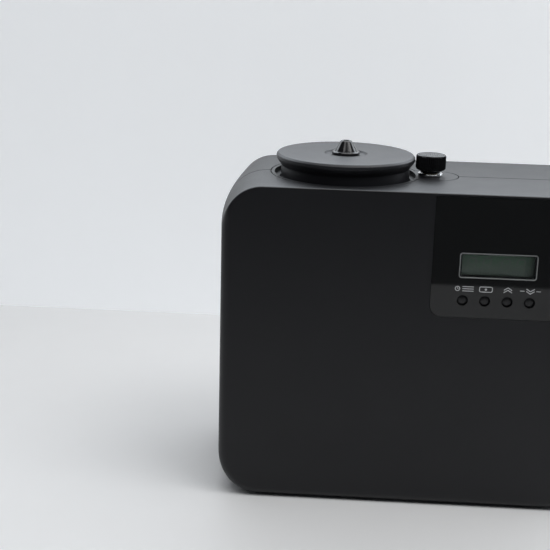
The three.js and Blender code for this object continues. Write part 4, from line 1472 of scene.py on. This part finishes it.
CARRIED = {
    "natural moulding": ("lcd_holder", "pump_yoke", *("tact_switch_" + name for name in BUTTON_NAMES)),
    "circuit board": ("control_board",),
    "zinc steel": ("board_screw_1", "board_screw_2", "pump_tray", "pump_motor"),
    "turned metal": ("valve_spindle", "motor_shaft", "atomiser"),
    "brass": ("valve_body", "eccentric"),
    "rubber": (*(f"rubber_mount_{i}" for i in range(1, 5)), "diaphragm"),
    "pump grey": ("pump_frame", "pump_head"),
    "felt": ("intake_filter",),
    "silicone": ("pump_hose", "valve_hose"),
    "lead jacket": ("jack_lead", "motor_lead"),
}


def finish_carried():
    """Gives each CAD node that shows as it is its own material."""
    for material, names in CARRIED.items():
        for name in names:
            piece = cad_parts[name]
            piece.data.materials.clear()
            piece.data.materials.append(bpy.data.materials[material])
            for face in piece.data.polygons:
                face.material_index = 0


# ---------------------------------------------------------------- stage


def stage_plane(name, corners, material):
    """A single flat face with one material."""
    mesh = bpy.data.meshes.new(name)
    mesh.from_pydata(corners, [], [(0, 1, 2, 3)])
    plane = bpy.data.objects.new(name, mesh)
    bpy.context.scene.collection.objects.link(plane)
    mesh.materials.append(material)


def area_light(name, place, target, size, power, color=(1.0, 1.0, 1.0)):
    """A softbox that shines from place towards target, and that no camera sees."""
    data = bpy.data.lights.new(name, "AREA")
    data.shape = "RECTANGLE"
    data.size, data.size_y = size
    data.energy = power
    data.color = color
    lamp = bpy.data.objects.new(name, data)
    lamp.visible_camera = False
    bpy.context.scene.collection.objects.link(lamp)
    lamp.location = place
    aim = Vector(target) - Vector(place)
    lamp.rotation_euler = aim.to_track_quat("-Z", "Y").to_euler()
    return lamp


def camera_matrix(stage):
    """World matrix of the camera from its place and its turn, tilt and roll."""
    turn, tilt, roll = stage.camera_turn
    level = Vector((math.sin(turn), math.cos(turn), 0))
    right = Vector((math.cos(turn), -math.sin(turn), 0))
    forward = level * math.cos(tilt) - Vector((0, 0, math.sin(tilt)))
    up = right.cross(forward)
    rolled_right = right * math.cos(roll) + up * math.sin(roll)
    rolled_up = up * math.cos(roll) - right * math.sin(roll)
    axes = Matrix((rolled_right, rolled_up, -forward)).transposed().to_4x4()
    return Matrix.Translation(Vector(stage.camera_place)) @ axes


def build_camera(stage):
    """Camera that looks slightly down and to the left, with the object right of its middle."""
    data = bpy.data.cameras.new("Camera")
    data.lens = stage.camera_lens
    data.sensor_width = 36.0
    camera = bpy.data.objects.new("Camera", data)
    bpy.context.scene.collection.objects.link(camera)
    camera.matrix_world = camera_matrix(stage)
    bpy.context.scene.camera = camera


def open_from_behind(material):
    """Makes a stage surface see-through from its back, so that the object shows from all sides."""
    tree = material.node_tree
    surface = add_node(tree, "ShaderNodeNewGeometry")
    front = math_node(tree, "SUBTRACT", 1.0, surface.outputs["Backfacing"])
    tree.links.new(front, tree.nodes["Principled BSDF"].inputs["Alpha"])


def build_room(stage):
    """A room that gives little light itself, with a pale backdrop where the stage ends."""
    world = bpy.data.worlds.new("dim room")
    world.use_nodes = True
    tree = world.node_tree
    backdrop = tree.nodes["Background"]
    backdrop.inputs["Color"].default_value = (0.88, 0.94, 1.0, 1.0)
    path = add_node(tree, "ShaderNodeLightPath")
    seen = math_node(tree, "MULTIPLY", path.outputs["Is Camera Ray"], stage.backdrop - stage.room_glow)
    tree.links.new(math_node(tree, "ADD", seen, stage.room_glow), backdrop.inputs["Strength"])
    return world


def build_surfaces(stage):
    """Pale table top, and a wall that glows a little and can be looked through from behind."""
    table = moulded(
        "table top", tuple(stage.table_colour), 0.5, spread=0.05, scale=300.0, depth=1e-5, drift=0.02,
    )
    wall = moulded(
        "wall paint", tuple(stage.wall_colour), 0.8, spread=0.05, scale=400.0, depth=2e-5, drift=0.02,
        Emission_Color=(0.93, 0.96, 1.0, 1.0), Emission_Strength=stage.wall_glow,
    )
    open_from_behind(wall)
    side = STAGE_WIDTH / 2
    stage_plane("table", [
        (-side, TABLE_FRONT, 0), (side, TABLE_FRONT, 0), (side, side, 0), (-side, side, 0),
    ], table)
    stage_plane("wall", [
        (-side, WALL, 0), (side, WALL, 0), (side, WALL, WALL_HEIGHT), (-side, WALL, WALL_HEIGHT),
    ], wall)


def build_lights(stage):
    """An overhead softbox, one high behind the object for its top edges, and a wash on the wall."""
    area_light(
        "overhead softbox", place=(0.2, -0.35, 1.3), target=(0.15, -0.1, 0), size=(1.8, 0.9),
        power=stage.key_power,
    )
    back = area_light(
        "back softbox", place=(0.0, WALL - 0.01, 0.73), target=(0.0, -0.1, 0.73), size=(1.7, 0.8),
        power=stage.back_power, color=(0.86, 0.93, 1.0),
    )
    back.visible_diffuse = False
    area_light(
        "wall wash", place=(0.7, -0.35, 1.2), target=(0.4, 0.3, 0.2), size=(1.0, 0.5),
        power=stage.wash_power,
    )


def build_stage(stage):
    """Table, wall, lights and the room around them."""
    build_surfaces(stage)
    build_lights(stage)
    bpy.context.scene.world = build_room(stage)
    bpy.context.scene.view_settings.view_transform = "Standard"


# ---------------------------------------------------------------- operators


class DIFFUSER_OT_materials(bpy.types.Operator):
    """Make the shader groups and every material"""
    bl_idname = "diffuser.materials"
    bl_label = "Materials"

    def execute(self, context):
        build_materials(settings().finish)
        return {"FINISHED"}


class DIFFUSER_OT_shells(bpy.types.Operator):
    """Build the front and rear shells and the top insert"""
    bl_idname = "diffuser.shells"
    bl_label = "Shells and insert"

    def execute(self, context):
        build_front_shell(settings().housing, settings().panel)
        build_rear_shell(settings().housing)
        build_insert()
        return {"FINISHED"}


class DIFFUSER_OT_feet(bpy.types.Operator):
    """Build the rubber feet"""
    bl_idname = "diffuser.feet"
    bl_label = "Feet"

    def execute(self, context):
        build_feet()
        return {"FINISHED"}


class DIFFUSER_OT_case_screws(bpy.types.Operator):
    """Build the case screws in the rear wells"""
    bl_idname = "diffuser.case_screws"
    bl_label = "Case screws"

    def execute(self, context):
        build_case_screws()
        return {"FINISHED"}


class DIFFUSER_OT_cap(bpy.types.Operator):
    """Build the bottle cap with its seals, nozzle and dip tube"""
    bl_idname = "diffuser.cap"
    bl_label = "Cap and nozzle"

    def execute(self, context):
        build_cap()
        build_seals()
        build_nozzle()
        build_dip_tube()
        return {"FINISHED"}


class DIFFUSER_OT_bottle(bpy.types.Operator):
    """Build the bottle and the sleeve that it stands in"""
    bl_idname = "diffuser.bottle"
    bl_label = "Bottle and sleeve"

    def execute(self, context):
        build_bottle()
        build_sleeve()
        return {"FINISHED"}


class DIFFUSER_OT_knob(bpy.types.Operator):
    """Build the knurled flow knob and its collar"""
    bl_idname = "diffuser.knob"
    bl_label = "Flow knob"

    def execute(self, context):
        build_knob(settings().knob)
        build_collar()
        return {"FINISHED"}


class DIFFUSER_OT_panel(bpy.types.Operator):
    """Build the glossy control panel with its display"""
    bl_idname = "diffuser.panel"
    bl_label = "Control panel"

    def execute(self, context):
        build_panel(settings().panel)
        build_display(settings().panel)
        build_symbols(settings().panel)
        return {"FINISHED"}


class DIFFUSER_OT_buttons(bpy.types.Operator):
    """Build the four keys"""
    bl_idname = "diffuser.buttons"
    bl_label = "Keys"

    def execute(self, context):
        build_buttons()
        return {"FINISHED"}


class DIFFUSER_OT_inlet(bpy.types.Operator):
    """Build the power inlet and its nut"""
    bl_idname = "diffuser.inlet"
    bl_label = "Power inlet"

    def execute(self, context):
        build_inlet()
        return {"FINISHED"}


class DIFFUSER_OT_insides(bpy.types.Operator):
    """Give the carried-over inner pieces their materials"""
    bl_idname = "diffuser.insides"
    bl_label = "Inner pieces"

    def execute(self, context):
        finish_carried()
        return {"FINISHED"}


class DIFFUSER_OT_stage(bpy.types.Operator):
    """Set up the table, wall, lights and camera"""
    bl_idname = "diffuser.stage"
    bl_label = "Stage"

    def execute(self, context):
        build_stage(settings().stage)
        build_camera(settings().stage)
        return {"FINISHED"}


OPERATORS = (
    DIFFUSER_OT_materials,
    DIFFUSER_OT_shells,
    DIFFUSER_OT_feet,
    DIFFUSER_OT_case_screws,
    DIFFUSER_OT_cap,
    DIFFUSER_OT_bottle,
    DIFFUSER_OT_knob,
    DIFFUSER_OT_panel,
    DIFFUSER_OT_buttons,
    DIFFUSER_OT_inlet,
    DIFFUSER_OT_insides,
    DIFFUSER_OT_stage,
)


class DIFFUSER_PT_sidebar(bpy.types.Panel):
    bl_label = "Scent Diffuser"
    bl_idname = "DIFFUSER_PT_sidebar"
    bl_space_type = "VIEW_3D"
    bl_region_type = "UI"
    bl_category = "Diffuser"

    def draw(self, context):
        for operator in OPERATORS:
            self.layout.operator(operator.bl_idname)


SETTINGS = (
    HousingSettings, KnobSettings, PanelSettings, FinishSettings, StageSettings, DiffuserSettings,
)


def register():
    for item in SETTINGS + OPERATORS + (DIFFUSER_PT_sidebar,):
        bpy.utils.register_class(item)
    bpy.types.Scene.diffuser = PointerProperty(type=DiffuserSettings)


def unregister():
    del bpy.types.Scene.diffuser
    for item in reversed(SETTINGS + OPERATORS + (DIFFUSER_PT_sidebar,)):
        bpy.utils.unregister_class(item)


def main():
    """Builds everything in order."""
    register()
    for operator in OPERATORS:
        group, name = operator.bl_idname.split(".")
        getattr(getattr(bpy.ops, group), name)()


if __name__ == "__main__":
    main()
